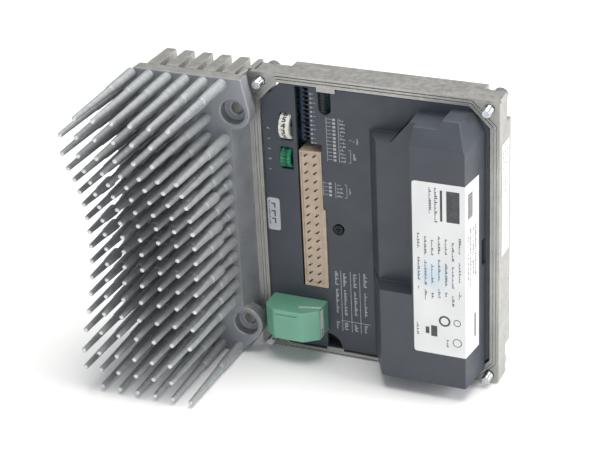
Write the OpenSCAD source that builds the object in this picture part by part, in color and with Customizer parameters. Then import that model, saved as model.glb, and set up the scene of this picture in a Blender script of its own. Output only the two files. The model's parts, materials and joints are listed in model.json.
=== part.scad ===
// Electronics unit of a motor-mounted servo drive: a die-cast tray with an offset pin heat sink,
// an inner cover over the electronics, setting switches, plug-in module and captive screws.
// X runs to the right, Y to the back and Z up. The origin is the centre of the four cover screws
// on the plane of the sealing rim.

/* [Sealing rim and tray] */
// Width of the sealing rim
rim_w = 138.8; // [136:0.2:142]
// Height of the sealing rim
rim_h = 166; // [165:0.5:168]
// Thickness of the rim flange
flange_t = 3; // [2.5:0.1:3.5]
// Depth of the tray, from the rim to its back
tray_d = 21; // [20.6:0.1:22]
// Thickness of the tray's back wall
floor_t = 3.4; // [3:0.1:3.6]
// Width of the rim's right band
band_right = 5.2; // [4.6:0.1:5.6]
// Width of the rim's left band
band_left = 6.2; // [5.6:0.1:6.4]
// Width of the rim's top band
band_top = 4.8; // [4.4:0.1:5]
// Width of the rim's bottom band
band_bottom = 3; // [2.8:0.1:3.2]
// Leg of the chamfer across each corner of the opening
opening_cut = 10.8; // [10:0.2:12]
// Width of each of the two sealing grooves in the rim
groove_w = 0.7; // [0.5:0.1:0.9]

/* [Captive screws] */
// Distance between screws across the unit
screw_dx = 126; // [124:0.5:128]
// Distance between screws up the unit
screw_dz = 156; // [154:0.5:157]
// Radius of the screw thread
screw_r = 2.5; // [2.4:0.1:2.6]
// Radius of the screw's neck behind the thread
neck_r = 2; // [1.8:0.1:2.1]
// Length of the screw tip in front of the rim
screw_proud = 6.8; // [6:0.2:10]
// Depth of the corner boss behind the rim
boss_d = 14.5; // [13:0.5:15]

/* [Heat sink] */
// Width of the heat-sink plate, left of the rim
plate_w = 74.8; // [73:0.2:77]
// Thickness of the heat-sink plate
plate_t = 8; // [7:0.5:9]
// Distance from the rim plane to the plate's front
plate_front = 13.6; // [12.6:0.2:14]
// Height of the fins behind the plate
fin_h = 22.8; // [20:0.2:24]
// Pitch of the fins
fin_pitch = 11; // [10.5:0.1:11.5]
// Thickness of a fin at its root
fin_root = 7.2; // [6:0.2:8]
// Thickness of a fin at its tip
fin_tip = 5.8; // [4.6:0.2:6]
// Pitch of the pin columns
pin_dx = 10.6; // [10.2:0.1:10.8]
// Pitch of the twelve middle pin rows
pin_dz = 8.78; // [8.6:0.02:8.8]
// Pitch of the three outer pin rows at each end
pin_dz_end = 10.4; // [10:0.1:10.4]
// Radius of a pin at its root
pin_root_r = 3.1; // [2.8:0.1:3.3]
// Radius of a pin at its tip
pin_tip_r = 1.4; // [1.2:0.1:1.6]
// Distance from the rim plane to the tips of the middle pins
pin_reach_mid = 58; // [50:1:62]
// Distance from the rim plane to the tips of the end pins
pin_reach_end = 76.5; // [70:0.5:80]
// Radius of the curve that the pin tips follow
pin_curve_r = 88; // [84:1:100]
// Radius of the round recess in each heat-sink ear
recess_r = 6.9; // [6:0.1:7.2]

/* [Inner cover] */
// Thickness of the plastic panel and walls
wall = 2; // [1.6:0.1:2.2]
// Depth of the panel's front behind the rim plane
panel_y = 1; // [0.6:0.1:1.2]
// Distance from the rim plane to the raised box's front
box_front = 23.8; // [23:0.2:26]
// Distance from the rim plane to the front of its lower step
strip_front = 12.8; // [11:0.2:14]

/* [Setting elements] */
// Radius of the setpoint wheel
wheel_r = 7.6; // [7:0.1:7.7]
// Radius of the ramp wheel
ramp_r = 6.2; // [5.8:0.1:6.4]
// Width of a setting wheel
wheel_w = 5.6; // [5:0.1:6]
// Pitch of the switch sliders
dip_pitch = 2.54; // [2.54:0.01:2.56]
// Travel of a switch slider
dip_travel = 1.2; // [0.8:0.1:1.2]
// Pitch of the signal connector's contacts
contact_pitch = 5.08; // [5:0.01:5.08]

/* [Screw plugs] */
// Radius of the screw plug's thread
plug_r = 7; // [6.8:0.05:7.1]
// Radius of the screw plug's head
plug_head_r = 10; // [9.4:0.1:10.5]

/* [Hidden] */
$fn = 48;
eps = 0.01;
gap = 0.3;          // clearance between pieces that move past each other
run = 0.05;         // radial running clearance of a shaft or thread

// rim and tray
rim_left = -rim_w / 2 - 1;
rim_right = rim_w / 2 - 1;
open_left = rim_left + band_left;
open_right = rim_right - band_right;
open_top = rim_h / 2 - band_top;
open_bottom = rim_h / 2 - band_bottom;
tray_left = rim_left + 6.8;
tray_right = rim_right - 0.6;
tray_top = rim_h / 2 - 0.6;
side_wall = 3.2;
inner_left = tray_left + side_wall;
floor_y = tray_d - floor_t;
screw_x = screw_dx / 2;
screw_z = screw_dz / 2;
corners = [[-1, 1], [1, 1], [-1, -1], [1, -1]]; // sides in X and Z: top left, top right, then the bottom
boss_inner = [-50.8, 56];   // inner edges of the corner bosses, left and right
boss_edge = 66;             // distance of their lower edges from mid height

// boards
board_t = 1.6;
board_y = floor_y - 3.6 - board_t;
board_back = board_y + board_t;
control_x = [-58, -1];
power_x = [1, 61];
board_z = 73;
pillar_r = 3;
fix_r = 1.25;       // core radius of the small board screws
control_fixings = [[-54, 68], [-5, 68], [-54, -24], [-5, -69], [-54, -69]];
power_fixings = [[6, 68], [56, 68], [6, -69], [56, -69], [6, -6]];

// heat sink
plate_left = rim_left - plate_w;
plate_right = rim_left - 4.4;
plate_back = -plate_front + plate_t;
fin_back = plate_back + fin_h;
fin_first = rim_left - 8.3;
pin_col_first = rim_left - 8.7;
pin_col_last = 9.4; // pitch to the outermost column
recess = [rim_left - 3.5, 64];
ear_r = 10;
ear_hole_r = 3.2;
nut_room_r = 5.8;

// inner cover
cover_gap = 0.6;
skirt_y = 9;
cover_left = open_left + cover_gap;
cover_right = open_right - cover_gap;
cover_top = open_top - cover_gap;
cover_bottom = open_bottom - cover_gap;
box_base = [-2.4, 60.7];
box_face = [28.2, 57.7];
strip_left = 6;
block_left = 10.4;
block_top = -22.1;
box_bottom = -74.5;
box_crease = 63.7;
label_left = 29.4;
label_z = [-55.2, 44.8];
label_wrap = 16;            // width of the part on the box's side
label_t = 0.2;

// control elements, each as [x, z] on the panel
white_wheel = [-49.9, 52.8];
green_wheel = [-50.3, 34.5];
wheel_y = panel_y + 3.4;
dip_x = -40.2;
dip_top = 76.5;
dip_front = 6;
connector = [-43, -30.4];
connector_z = [-41.4, 40.5];
connector_front = 0.6;
connector_step = 48;        // height of the lower, wider part
contact_x = -39.6;
slot_turn = -45;            // the contact slots stand across the corners of their cells
pack_x = [-62, -30.1];
pack_z = [-67.9, -49.5];
pack_front = -17;
pack_slant = 6;             // how far its slanted right face runs back
cover_screw_at = [-22, -4.2];
plug_at = [-37, 38];
socket_at = [-37, 2];
led_at = [-37, 62];
plug_boss_y = tray_d + 2.5;
plug_boss_r = 12;
seal_t = 1;

// power parts on their board
capacitor_x = 43;
capacitor_z = [40, 15, -10];
capacitor_r = 11;
capacitor_front = -18.2;
choke_at = [17, 30];
choke_r = 9;
choke_turns = 12;
core_x = [22, 50];          // transformer core
core_z = [-62, -34];
core_y = [board_y - 23, board_y - 3];
limb = 4;                   // outer limb of the core
window_w = 6;               // winding window beside the middle limb
relay_x = [9.5, 25.5];
relay_z = [-16, 6];
switch_pack_x = [20, 52];   // power module under the board
switch_pack_z = [-30, 32];
pad_t = 0.4;

// a straight cylinder along Y from y0 to y1 at x, z
module rod(x, z, y0, y1, r, r2 = -1) {
    translate([x, y0, z]) rotate([-90, 0, 0])
        cylinder(h = y1 - y0, r1 = r, r2 = r2 < 0 ? r : r2);
}

// a box between two corners
module block(lo, hi) {
    translate(lo) cube(hi - lo);
}

// extrudes an outline drawn in X and Z along Y from y0 to y1
module slab(y0, y1) {
    translate([0, y1, 0]) rotate([90, 0, 0]) linear_extrude(height = y1 - y0) children();
}

// extrudes a profile drawn in X and Y along Z from z0 to z1
module column(z0, z1) {
    translate([0, 0, z0]) linear_extrude(height = z1 - z0) children();
}

// rectangle between two points with its corners cut off by chamfer c
module cut_rect(x0, x1, z0, z1, c) {
    polygon([[x0 + c, z0], [x1 - c, z0], [x1, z0 + c], [x1, z1 - c],
             [x1 - c, z1], [x0 + c, z1], [x0, z1 - c], [x0, z0 + c]]);
}

// rectangle between two points with corners of radius r
module round_rect(x0, x1, z0, z1, r) {
    translate([x0 + r, z0]) square([x1 - x0 - 2 * r, z1 - z0]);
    translate([x0, z0 + r]) square([x1 - x0, z1 - z0 - 2 * r]);
    for (x = [x0 + r, x1 - r], z = [z0 + r, z1 - r]) translate([x, z]) circle(r);
}

// ---- castings ----

module opening_outline(grow = 0) {
    cut_rect(open_left - grow, open_right + grow, -open_bottom - grow, open_top + grow,
             opening_cut + 0.6 * grow);
}

module groove(grow) {
    slab(-eps, 0.8) difference() {
        opening_outline(grow + groove_w);
        opening_outline(grow);
    }
}

// block in a corner of the tray, out to x_left or x_right and past mid height by up to z_out
module corner_block(side, x_left, x_right, y0, y1, z_out) {
    x = side[0] < 0 ? [x_left, boss_inner[0]] : [boss_inner[1], x_right];
    z = side[1] < 0 ? [-z_out, -boss_edge] : [boss_edge, z_out];
    block([x[0], y0, z[0]], [x[1], y1, z[1]]);
}

module housing_tray() {
    color([0.76, 0.75, 0.73]) difference() {
        union() {
            slab(0, flange_t) round_rect(rim_left, rim_right, -rim_h / 2, rim_h / 2, 2.5);
            difference() {
                slab(flange_t - eps, tray_d) round_rect(tray_left, tray_right, -tray_top, tray_top, 2);
                for (s = corners)
                    corner_block(s, tray_left - 8, tray_right + 8, boss_d, tray_d + 1, rim_h / 2 + 7);
            }
            for (s = corners)
                corner_block(s, tray_left - 3.8, tray_right, flange_t - eps, boss_d, tray_top);
            for (p = [plug_at, socket_at]) rod(p[0], p[1], tray_d - eps, plug_boss_y, plug_boss_r);
        }
        slab(-1, flange_t) opening_outline();
        slab(flange_t - 2 * eps, floor_y) intersection() {
            opening_outline();
            translate([inner_left, -100]) square([200, 200]);
        }
        for (g = [1.5, 3.1]) groove(g);
        for (s = corners) rod(s[0] * screw_x, s[1] * screw_z, -1, tray_d, screw_r + 0.3);
        for (p = [plug_at, socket_at]) rod(p[0], p[1], floor_y - 1, plug_boss_y + 1, plug_r);
        rod(led_at[0], led_at[1], floor_y - 1, tray_d + 1, 2.5);
    }
    color([0.76, 0.75, 0.73]) for (p = concat(control_fixings, power_fixings, [cover_screw_at]))
        difference() {
            rod(p[0], p[1], board_back, floor_y, pillar_r);
            rod(p[0], p[1], board_back - 1, floor_y + eps, fix_r);
        }
    color([0.76, 0.75, 0.73]) {
        block([-31.3, 0.2, open_top - 2.6], [-21, 1, open_top]);
        block([-31.3, 0.2, -open_bottom], [-21.4, 1, -open_bottom + 1.5]);
    }
}

module plate_outline() {
    cut = 15;
    polygon([[plate_left + cut, -rim_h / 2], [plate_right - 3, -rim_h / 2], [recess[0] + 7, -recess[1] - 7.2],
             [recess[0], -recess[1] + ear_r], [plate_right, -recess[1] + ear_r],
             [plate_right, recess[1] - ear_r], [recess[0], recess[1] - ear_r], [recess[0] + ear_r, recess[1]],
             [rim_left + 2.4, rim_h / 2], [plate_left + cut, rim_h / 2],
             [plate_left, rim_h / 2 - 11], [plate_left, -rim_h / 2 + 11]]);
    for (s = [-1, 1]) translate([recess[0], s * recess[1]]) circle(ear_r);
}

module heatsink_plate() {
    color([0.55, 0.56, 0.58]) difference() {
        union() {
            slab(-plate_front, plate_back) plate_outline();
            column(-recess[1] + 2, rim_h / 2)
                polygon([[plate_right - 3, -plate_front], [plate_right, -plate_front], [rim_left, 0],
                         [rim_left, flange_t], [rim_left - 3.4, flange_t], [rim_left - 3.4, plate_back - 1],
                         [plate_right - 3, plate_back - 1]]);
        }
        for (s = [-1, 1]) {
            rod(recess[0], s * recess[1], -plate_front - 1, plate_back - 2, recess_r);
            rod(recess[0], s * recess[1], -plate_front, plate_back + 1, ear_hole_r);
        }
    }
}

module fin(x, root, tip, y0) {
    column(-rim_h / 2, rim_h / 2) polygon([[x - root / 2, y0], [x + root / 2, y0],
        [x + tip / 2, fin_back - 0.5], [x + tip / 2 - 0.6, fin_back], [x - tip / 2 + 0.6, fin_back],
        [x - tip / 2, fin_back - 0.5]]);
}

module cooling_fins() {
    color([0.62, 0.62, 0.62]) difference() {
        union() {
            for (k = [0:4]) fin(fin_first - k * fin_pitch, fin_root, fin_tip, plate_back);
            fin(rim_left + 0.9, 3.4, 2.8, flange_t);
        }
        // room for a nut behind each ear
        for (s = [-1, 1]) rod(recess[0], s * recess[1], plate_back - 1, fin_back + 1, nut_room_r);
    }
}

// the tips follow a curve that is lowest at mid height
function pin_reach(z) = min(pin_reach_end,
    pin_reach_mid + pin_curve_r - sqrt(pin_curve_r * pin_curve_r - z * z));
function pin_row_z(k) = let (m = 8.5 - k, s = sign(m), a = abs(m))
    a < 6 ? m * pin_dz : s * (5.5 * pin_dz + (a - 5.5) * pin_dz_end);
function pin_col_x(c) = pin_col_first - min(c, 5) * pin_dx - max(c - 5, 0) * pin_col_last;
function pin_stands(row, col) = (row == 0 || row == 17) ? col < 6
    : (row < 3 || row > 14) ? col > 0 : true;

module cooling_pin(x, z) {
    reach = pin_reach(z);
    length = reach - plate_front;
    collar = plate_front + 0.37 * length;
    rod(x, z, -reach, -collar, pin_tip_r, pin_root_r - 1);
    rod(x, z, -collar, -plate_front, pin_root_r - 0.65, pin_root_r);
}

module cooling_pins() {
    $fn = 24;
    color([0.55, 0.56, 0.57]) for (row = [0:17], col = [0:6])
        if (pin_stands(row, col)) cooling_pin(pin_col_x(col), pin_row_z(row));
}

// ---- captive screws ----

module captive_screw(k) {
    x = corners[k][0] * screw_x;
    z = corners[k][1] * screw_z;
    head = boss_d + 0.8;
    color([0.8, 0.81, 0.82]) difference() {
        union() {
            rod(x, z, -screw_proud, -screw_proud + 0.8, screw_r - 0.6, screw_r);
            rod(x, z, -screw_proud + 0.8, -0.5, screw_r);
            rod(x, z, -0.5 - eps, head + eps, neck_r);
            rod(x, z, head, head + 3.6, 4.2);
        }
        block([x - 5, head + 2.2, z - 0.6], [x + 5, head + 4, z + 0.6]);
    }
}

module lock_washer(k) {
    x = corners[k][0] * screw_x;
    z = corners[k][1] * screw_z;
    color([0.6, 0.61, 0.62]) difference() {
        rod(x, z, boss_d, boss_d + 0.8, 4);
        rod(x, z, boss_d - 1, boss_d + 2, screw_r + run);
    }
}

// ---- inner cover ----

// solid of the raised box, shrunk by t on every side
module box_solid(t) {
    base = panel_y + (t > 0 ? 3 * wall : wall);
    left = box_base[0] + 1.2 * t;
    right = box_base[1] - t;
    difference() {
        union() {
            column(box_bottom + t, block_top - t) polygon([[left, base], [left, panel_y],
                [block_left + 1.2 * t, -box_front + t], [box_face[1] - t, -box_front + t],
                [right, panel_y], [right, base]]);
            column(box_bottom + t, 76 - t) polygon([[left, base], [left, panel_y],
                [strip_left + 1.2 * t, -strip_front + t], [box_face[0] + t, -strip_front + t],
                [box_face[0] + t, -box_front + t], [box_face[1] - t, -box_front + t],
                [right, panel_y], [right, base]]);
        }
        // stepped outline of the top
        translate([0, -t, -t]) slab(-50, 10) polygon([[-10, 58], [13.8 - t, 58], [25 - t, 71.5], [41, 71.5],
            [42.7, 75.3], [100, 75.3], [100, 100], [-10, 100]]);
        // sloping top of the face
        translate([0, -box_front + t, box_crease - t]) rotate([-39, 0, 0])
            block([-100, -50, 0], [100, 0, 100]);
        // cut across the top right corner
        translate([box_face[1] + 0.1 - t, -box_front, 62.6 - t]) rotate([0, -31, -10.7])
            block([0, -100, -100], [50, 100, 100]);
    }
}

module panel_windows() {
    slab(-1, 20) {
        for (w = [[white_wheel, 7.8], [green_wheel, 6.4]])
            translate([w[0][0] - wheel_w / 2 - 0.6, w[0][1] - w[1]]) square([wheel_w + 1.2, 2 * w[1]]);
        translate([dip_x - 3.9, 44]) square([7.8, 32.8]);
        translate([dip_x - 3.9, connector_z[0] - gap])
            square([connector[1] + gap - dip_x + 3.9, connector_z[1] - connector_z[0] + 4.6]);
        translate([connector[1], connector_z[0] - gap]) square([1.3 + gap, connector_step + 2 * gap]);
        translate([pack_x[0] + 4, pack_z[0] + 2]) square([25, 14]);
        translate([-31, 66]) square([7, 20]);
        translate([-27.5, 66]) circle(3.5);
        intersection() {
            translate([-31, -open_bottom + 1.4]) circle(8.4);
            translate([-31, -open_bottom + 1.4]) square(10);
        }
    }
}

module cover_outline() {
    cut_rect(cover_left, cover_right, -cover_bottom, cover_top, opening_cut);
}

module inner_cover() {
    panel_back = panel_y + wall;
    color([0.24, 0.25, 0.28]) difference() {
        union() {
            slab(panel_y, panel_back) cover_outline();
            slab(panel_back - eps, skirt_y) difference() {
                cut_rect(inner_left + gap, cover_right, -cover_bottom, cover_top, opening_cut + 1.2);
                cut_rect(inner_left + gap + 1.4, cover_right - 1.4, -cover_bottom + 1.4, cover_top - 1.4,
                         opening_cut + 0.6);
            }
            intersection() {
                box_solid(0);
                union() {
                    slab(-box_front - 1, -gap) translate([-100, -100]) square(200);
                    slab(-gap - eps, 10) cover_outline();
                }
            }
            rod(cover_screw_at[0], cover_screw_at[1], panel_back - eps, board_y, 3.6);
        }
        box_solid(wall);
        panel_windows();
        rod(cover_screw_at[0], cover_screw_at[1], panel_y - 1, panel_y + 1.4, 3.4);
        rod(cover_screw_at[0], cover_screw_at[1], panel_y, board_y + 1, 1.7);
        block([57.2, -3.4, -10], [63, panel_y - eps, 5]);
    }
}

module cover_screw() {
    x = cover_screw_at[0];
    z = cover_screw_at[1];
    color([0.35, 0.35, 0.37]) difference() {
        union() {
            rod(x, z, panel_y + 0.3, panel_y + 1.4, 2.3, 2.9);
            rod(x, z, panel_y + 1.4 - eps, floor_y, fix_r);
        }
        for (a = [0, 90]) translate([x, panel_y, z]) rotate([0, a, 0])
            block([-1.7, 0, -0.3], [1.7, 1, 0.3]);
    }
}

// ---- boards ----

module board_blank(xs, fixings, extra = []) {
    difference() {
        slab(board_y, board_back) cut_rect(xs[0], xs[1], -board_z, board_z, 4.5);
        for (p = fixings) rod(p[0], p[1], board_y - 1, board_back + 1, 1.6);
        for (p = extra) rod(p[0], p[1], board_y - 1, board_back + 1, 1.7);
    }
}

module control_board() {
    color([0.1, 0.3, 0.25]) board_blank(control_x, control_fixings, [cover_screw_at]);
}

module power_board() {
    color([0.1, 0.32, 0.2]) board_blank(power_x, power_fixings);
}

module board_screws() {
    color([0.75, 0.74, 0.7]) for (p = concat(control_fixings, power_fixings)) difference() {
        union() {
            rod(p[0], p[1], board_y - 1.8, board_y, 2.7);
            rod(p[0], p[1], board_y - eps, floor_y, fix_r);
        }
        block([p[0] - 3, board_y - 2, p[1] - 0.3], [p[0] + 3, board_y - 1, p[1] + 0.3]);
    }
}

module board_link() {
    color([0.15, 0.15, 0.16]) block([-6, board_y - 6, 18], [6, board_y, 48]);
}

// ---- signal connector ----

module connector_cells() {
    for (col = [0, 1], row = [0:15])
        translate([contact_x + col * contact_pitch, 0, connector_z[1] - 2.9 - row * contact_pitch])
            children();
}

module signal_connector() {
    front = connector_front;
    color([0.85, 0.8, 0.7]) difference() {
        union() {
            block([connector[0], front, connector_z[0]], [connector[1], board_y, connector_z[1]]);
            block([connector[1] - eps, front, connector_z[0]],
                  [connector[1] + 1.3, board_y, connector_z[0] + connector_step]);
        }
        block([connector[0] + 1, front - 1, connector_z[0] + 2.4],
              [connector[1] - 0.9, front + 0.8, connector_z[1] - 1]);
        connector_cells() rotate([0, slot_turn, 0]) block([-1.5, front, -0.5], [1.5, front + 9, 0.5]);
    }
}

module connector_contacts() {
    color([0.75, 0.7, 0.55]) connector_cells() rotate([0, slot_turn, 0])
        block([-1.2, connector_front + 2.2, -0.25], [1.2, connector_front + 9, 0.25]);
}

// ---- switches ----

function dip_z(k) = dip_top - 1.6 - dip_pitch * (k + 0.5) - (k > 7 ? 0.4 : 0);

module dip_switch_bodies() {
    for (bank = [[0, 7], [8, 11]])
        color([0.1, 0.2, 0.5]) difference() {
            block([dip_x - 3.2, dip_front, dip_z(bank[1]) - dip_pitch / 2],
                  [dip_x + 3.2, board_y, dip_z(bank[0]) + dip_pitch / 2]);
            for (k = [bank[0]:bank[1]])
                block([dip_x - 1.4, dip_front - 1, dip_z(k) - 0.8],
                      [dip_x + 1.4, dip_front + 2.2, dip_z(k) + 0.8]);
        }
}

module dip_slider(k) {
    x0 = dip_x - 0.6 - dip_travel / 2;
    color([0.95, 0.95, 0.93]) block([x0, dip_front - 1.2, dip_z(k) - 0.65],
                                    [x0 + 1.2, dip_front + 2, dip_z(k) + 0.65]);
}

module setting_wheel(at, r, slots) {
    difference() {
        translate([at[0], wheel_y, at[1]]) rotate([0, 90, 0])
            cylinder(h = wheel_w, r = r, center = true);
        translate([at[0], wheel_y, at[1]]) rotate([0, 90, 0])
            cylinder(h = wheel_w + 2, r = 1 + run, center = true);
        for (s = [-1, 1]) translate([at[0] + s * wheel_w / 2, wheel_y, at[1]]) rotate([0, 90, 0])
            cylinder(h = 2.4, r = r - 1.6, center = true);
        for (k = [0:slots - 1]) translate([at[0], wheel_y, at[1]]) rotate([k * 360 / slots, 0, 0])
            block([-wheel_w, -r - 1, -0.25], [wheel_w, -r + 0.35, 0.25]);
    }
}

module setpoint_wheel() {
    color([0.92, 0.92, 0.88]) setting_wheel(white_wheel, wheel_r, 16);
}

module ramp_wheel() {
    color([0.1, 0.55, 0.38]) setting_wheel(green_wheel, ramp_r, 16);
}

module wheel_bracket() {
    inside = wheel_w / 2 + gap;
    color([0.2, 0.2, 0.22]) for (at = [white_wheel, green_wheel]) {
        for (s = [-1, 1]) difference() {
            translate([at[0] + s * (inside + 0.5), 0, at[1]])
                block([-0.5, panel_y + wall + 0.1, -3], [0.5, board_y, 3]);
            translate([at[0] + s * (inside + 0.5), wheel_y, at[1]]) rotate([0, 90, 0])
                cylinder(h = 3, r = 1, center = true);
        }
        translate([at[0], wheel_y, at[1]]) rotate([0, 90, 0])
            cylinder(h = 2 * inside + 2, r = 1, center = true);
    }
}

// ---- plug-in module ----

module module_profile(t) {
    back = panel_y - gap;
    polygon([[pack_x[0] + t, back - t], [pack_x[0] + t, pack_front + 5.6 + 0.4 * t],
             [pack_x[0] + 6.5 + 0.4 * t, pack_front + t], [pack_x[1] - 8 - 0.4 * t, pack_front + t],
             [pack_x[1] - t, pack_front + pack_slant + 0.4 * t], [pack_x[1] - t, back - t]]);
}

module module_shell() {
    color([0.4, 0.68, 0.56]) difference() {
        column(pack_z[0], pack_z[1]) module_profile(0);
        column(pack_z[0] + 1.6, pack_z[1] - 1.6) module_profile(1.6);
        block([pack_x[0] + 8, panel_y - gap - 2, pack_z[0] + 4],
              [pack_x[1] - 6, panel_y + 1, pack_z[1] - 4]);
        block([pack_x[0] + 7, pack_front - 1, pack_z[1] - 3.1],
              [pack_x[1] - 12, pack_front + 0.35, pack_z[1] - 2.6]);
    }
}

module module_board() {
    mid = (pack_z[0] + pack_z[1]) / 2;
    color([0.1, 0.35, 0.2])
        block([pack_x[0] + 8.3, pack_front + 3, mid - 0.8],
              [pack_x[1] - 8.3, panel_y - gap - 0.4, mid + 0.8]);
}

module module_contacts() {
    mid = (pack_z[0] + pack_z[1]) / 2;
    for (k = [0:6]) translate([pack_x[0] + 11 + 2 * k, 0, mid]) children();
}

module module_pins() {
    color([0.85, 0.75, 0.4]) module_contacts()
        block([-0.4, panel_y - gap - 0.4, -0.4], [0.4, board_y - 2.4, 0.4]);
}

module module_socket() {
    mid = (pack_z[0] + pack_z[1]) / 2;
    color([0.13, 0.13, 0.14]) difference() {
        block([pack_x[0] + 9, board_y - 6.4, mid - 3], [pack_x[0] + 25, board_y, mid + 3]);
        module_contacts() block([-0.7, board_y - 7, -0.7], [0.7, board_y - 1.6, 0.7]);
    }
}

// ---- power electronics ----

module dc_link_capacitors() {
    color([0.12, 0.14, 0.22]) for (z = capacitor_z) difference() {
        union() {
            rod(capacitor_x, z, capacitor_front + 0.8, board_y, capacitor_r);
            rod(capacitor_x, z, capacitor_front, capacitor_front + 0.8, capacitor_r - 1.2, capacitor_r);
        }
        rod(capacitor_x, z, capacitor_front - 0.1, capacitor_front + 0.4, capacitor_r - 2.4);
    }
}

module choke_core() {
    color([0.2, 0.24, 0.2]) difference() {
        rod(choke_at[0], choke_at[1], board_y - 12.5, board_y - 1.5, choke_r);
        rod(choke_at[0], choke_at[1], board_y - 14, board_y, choke_r - 4.4);
    }
}

module choke_winding() {
    inner = choke_r - 4.5;
    color([0.72, 0.4, 0.2]) for (k = [0:choke_turns - 1]) translate([choke_at[0], board_y - 7, choke_at[1]])
        rotate([0, (k + 0.5) * 360 / choke_turns, 0]) difference() {
            block([inner - 1.5, -7, -0.6], [choke_r + 1.6, 7, 0.6]);
            block([inner, -5.6, -1], [choke_r + 0.1, 5.6, 1]);
        }
}

// both windows of the core, or the space that the winding takes in them
module core_windows(y0, y1, z0, z1) {
    for (x = [core_x[0] + limb, core_x[1] - limb - window_w]) block([x, y0, z0], [x + window_w, y1, z1]);
}

module transformer_core() {
    mid = (core_z[0] + core_z[1]) / 2;
    color([0.25, 0.25, 0.27]) for (half = [[core_z[0], mid], [mid, core_z[1]]]) difference() {
        block([core_x[0], core_y[0], half[0]], [core_x[1], core_y[1], half[1]]);
        core_windows(core_y[0] - 5, core_y[1] + 5, core_z[0] + 5, core_z[1] - 5);
    }
}

module transformer_winding() {
    z0 = core_z[0] + 5;
    z1 = core_z[1] - 5;
    color([0.75, 0.62, 0.25]) {
        core_windows(core_y[0] - 2, board_y, z0, z1);
        block([core_x[0] + limb + window_w - eps, core_y[0] - 2, z0],
              [core_x[1] - limb - window_w + eps, core_y[0], z1]);
    }
}

module brake_relay() {
    color([0.12, 0.3, 0.55]) block([relay_x[0], board_y - 14, relay_z[0]], [relay_x[1], board_y, relay_z[1]]);
}

module power_module() {
    mid = (switch_pack_x[0] + switch_pack_x[1]) / 2;
    color([0.14, 0.14, 0.15]) difference() {
        block([switch_pack_x[0], board_back, switch_pack_z[0]],
              [switch_pack_x[1], floor_y - pad_t, switch_pack_z[1]]);
        for (z = [switch_pack_z[0] + 3, switch_pack_z[1] - 3]) rod(mid, z, board_back - 1, floor_y + 1, 1.8);
    }
}

module thermal_pad() {
    color([0.7, 0.7, 0.72]) block([switch_pack_x[0] - 1, floor_y - pad_t, switch_pack_z[0] - 1],
                                  [switch_pack_x[1] + 1, floor_y, switch_pack_z[1] + 1]);
}

// ---- parts reached from the back ----

module potentiometer_body() {
    color([0.15, 0.3, 0.6]) difference() {
        rod(plug_at[0], plug_at[1], board_back, board_back + 4.8, 4.75);
        rod(plug_at[0], plug_at[1], board_back + 3.3, board_back + 5, 2 + run);
    }
}

module potentiometer_rotor() {
    top = board_back + 6.2;
    color([0.9, 0.88, 0.8]) difference() {
        rod(plug_at[0], plug_at[1], board_back + 3.35, top, 2);
        block([plug_at[0] - 3, top - 0.8, plug_at[1] - 0.35], [plug_at[0] + 3, top + 1, plug_at[1] + 0.35]);
    }
}

module screw_plug(at) {
    head = plug_boss_y + seal_t;
    difference() {
        union() {
            rod(at[0], at[1], head - 3.7, head + eps, plug_r - run);
            rod(at[0], at[1], head, head + 2, plug_head_r);
            rod(at[0], at[1], head + 2, head + 2.8, plug_head_r, plug_head_r - 0.8);
        }
        block([at[0] - 6.5, head + 1.2, at[1] - 1], [at[0] + 6.5, head + 4, at[1] + 1]);
        for (k = [0:11]) translate([at[0], 0, at[1]]) rotate([0, k * 30, 0])
            block([plug_head_r - 0.5, head - 1, -0.8], [plug_head_r + 1, head + 4, 0.8]);
    }
}

module plug_seal(at) {
    color([0.1, 0.1, 0.1]) difference() {
        rod(at[0], at[1], plug_boss_y, plug_boss_y + seal_t, plug_head_r - 0.8);
        rod(at[0], at[1], plug_boss_y - 1, plug_boss_y + 2, plug_r + 0.2);
    }
}

module potentiometer_plug() {
    color([0.16, 0.16, 0.17]) screw_plug(plug_at);
}

module potentiometer_seal() {
    plug_seal(plug_at);
}

module diagnostic_plug() {
    color([0.16, 0.16, 0.17]) screw_plug(socket_at);
}

module diagnostic_seal() {
    plug_seal(socket_at);
}

module diagnostic_socket() {
    top = board_back + 6;
    color([0.1, 0.1, 0.11]) difference() {
        block([socket_at[0] - 5, board_back, socket_at[1] - 4.5], [socket_at[0] + 5, top, socket_at[1] + 4.5]);
        block([socket_at[0] - 3.8, board_back + 1.5, socket_at[1] - 3.2],
              [socket_at[0] + 3.8, top + 1, socket_at[1] + 3.2]);
    }
}

module status_led() {
    color([0.85, 0.85, 0.8]) block([led_at[0] - 1.6, board_back, led_at[1] - 1.4],
                                   [led_at[0] + 1.6, board_back + 1.2, led_at[1] + 1.4]);
}

module light_guide() {
    color([0.85, 0.9, 0.9]) {
        rod(led_at[0], led_at[1], board_back + 1.6, tray_d, 2.45);
        rod(led_at[0], led_at[1], tray_d, tray_d + 0.8, 2.45, 1.8);
    }
}

// ---- labels ----

module type_label() {
    t = label_t;
    x = box_face[1];
    slant = label_wrap * (box_base[1] - x) / (box_front + panel_y);
    color([0.93, 0.93, 0.91]) {
        block([label_left, -box_front - t, label_z[0]], [x + t, -box_front, label_z[1]]);
        column(label_z[0], label_z[1]) polygon([[x, -box_front], [x + t, -box_front],
            [x + t + slant, -box_front + label_wrap], [x + slant, -box_front + label_wrap]]);
    }
}

module test_label() {
    color([0.85, 0.86, 0.88]) block([cover_left + 0.3, panel_y - label_t, -10], [-56, panel_y, 9.5]);
}

module side_label() {
    color([0.93, 0.93, 0.92]) block([tray_right, 5.5, -8], [tray_right + label_t, 17.5, 56]);
}

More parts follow.
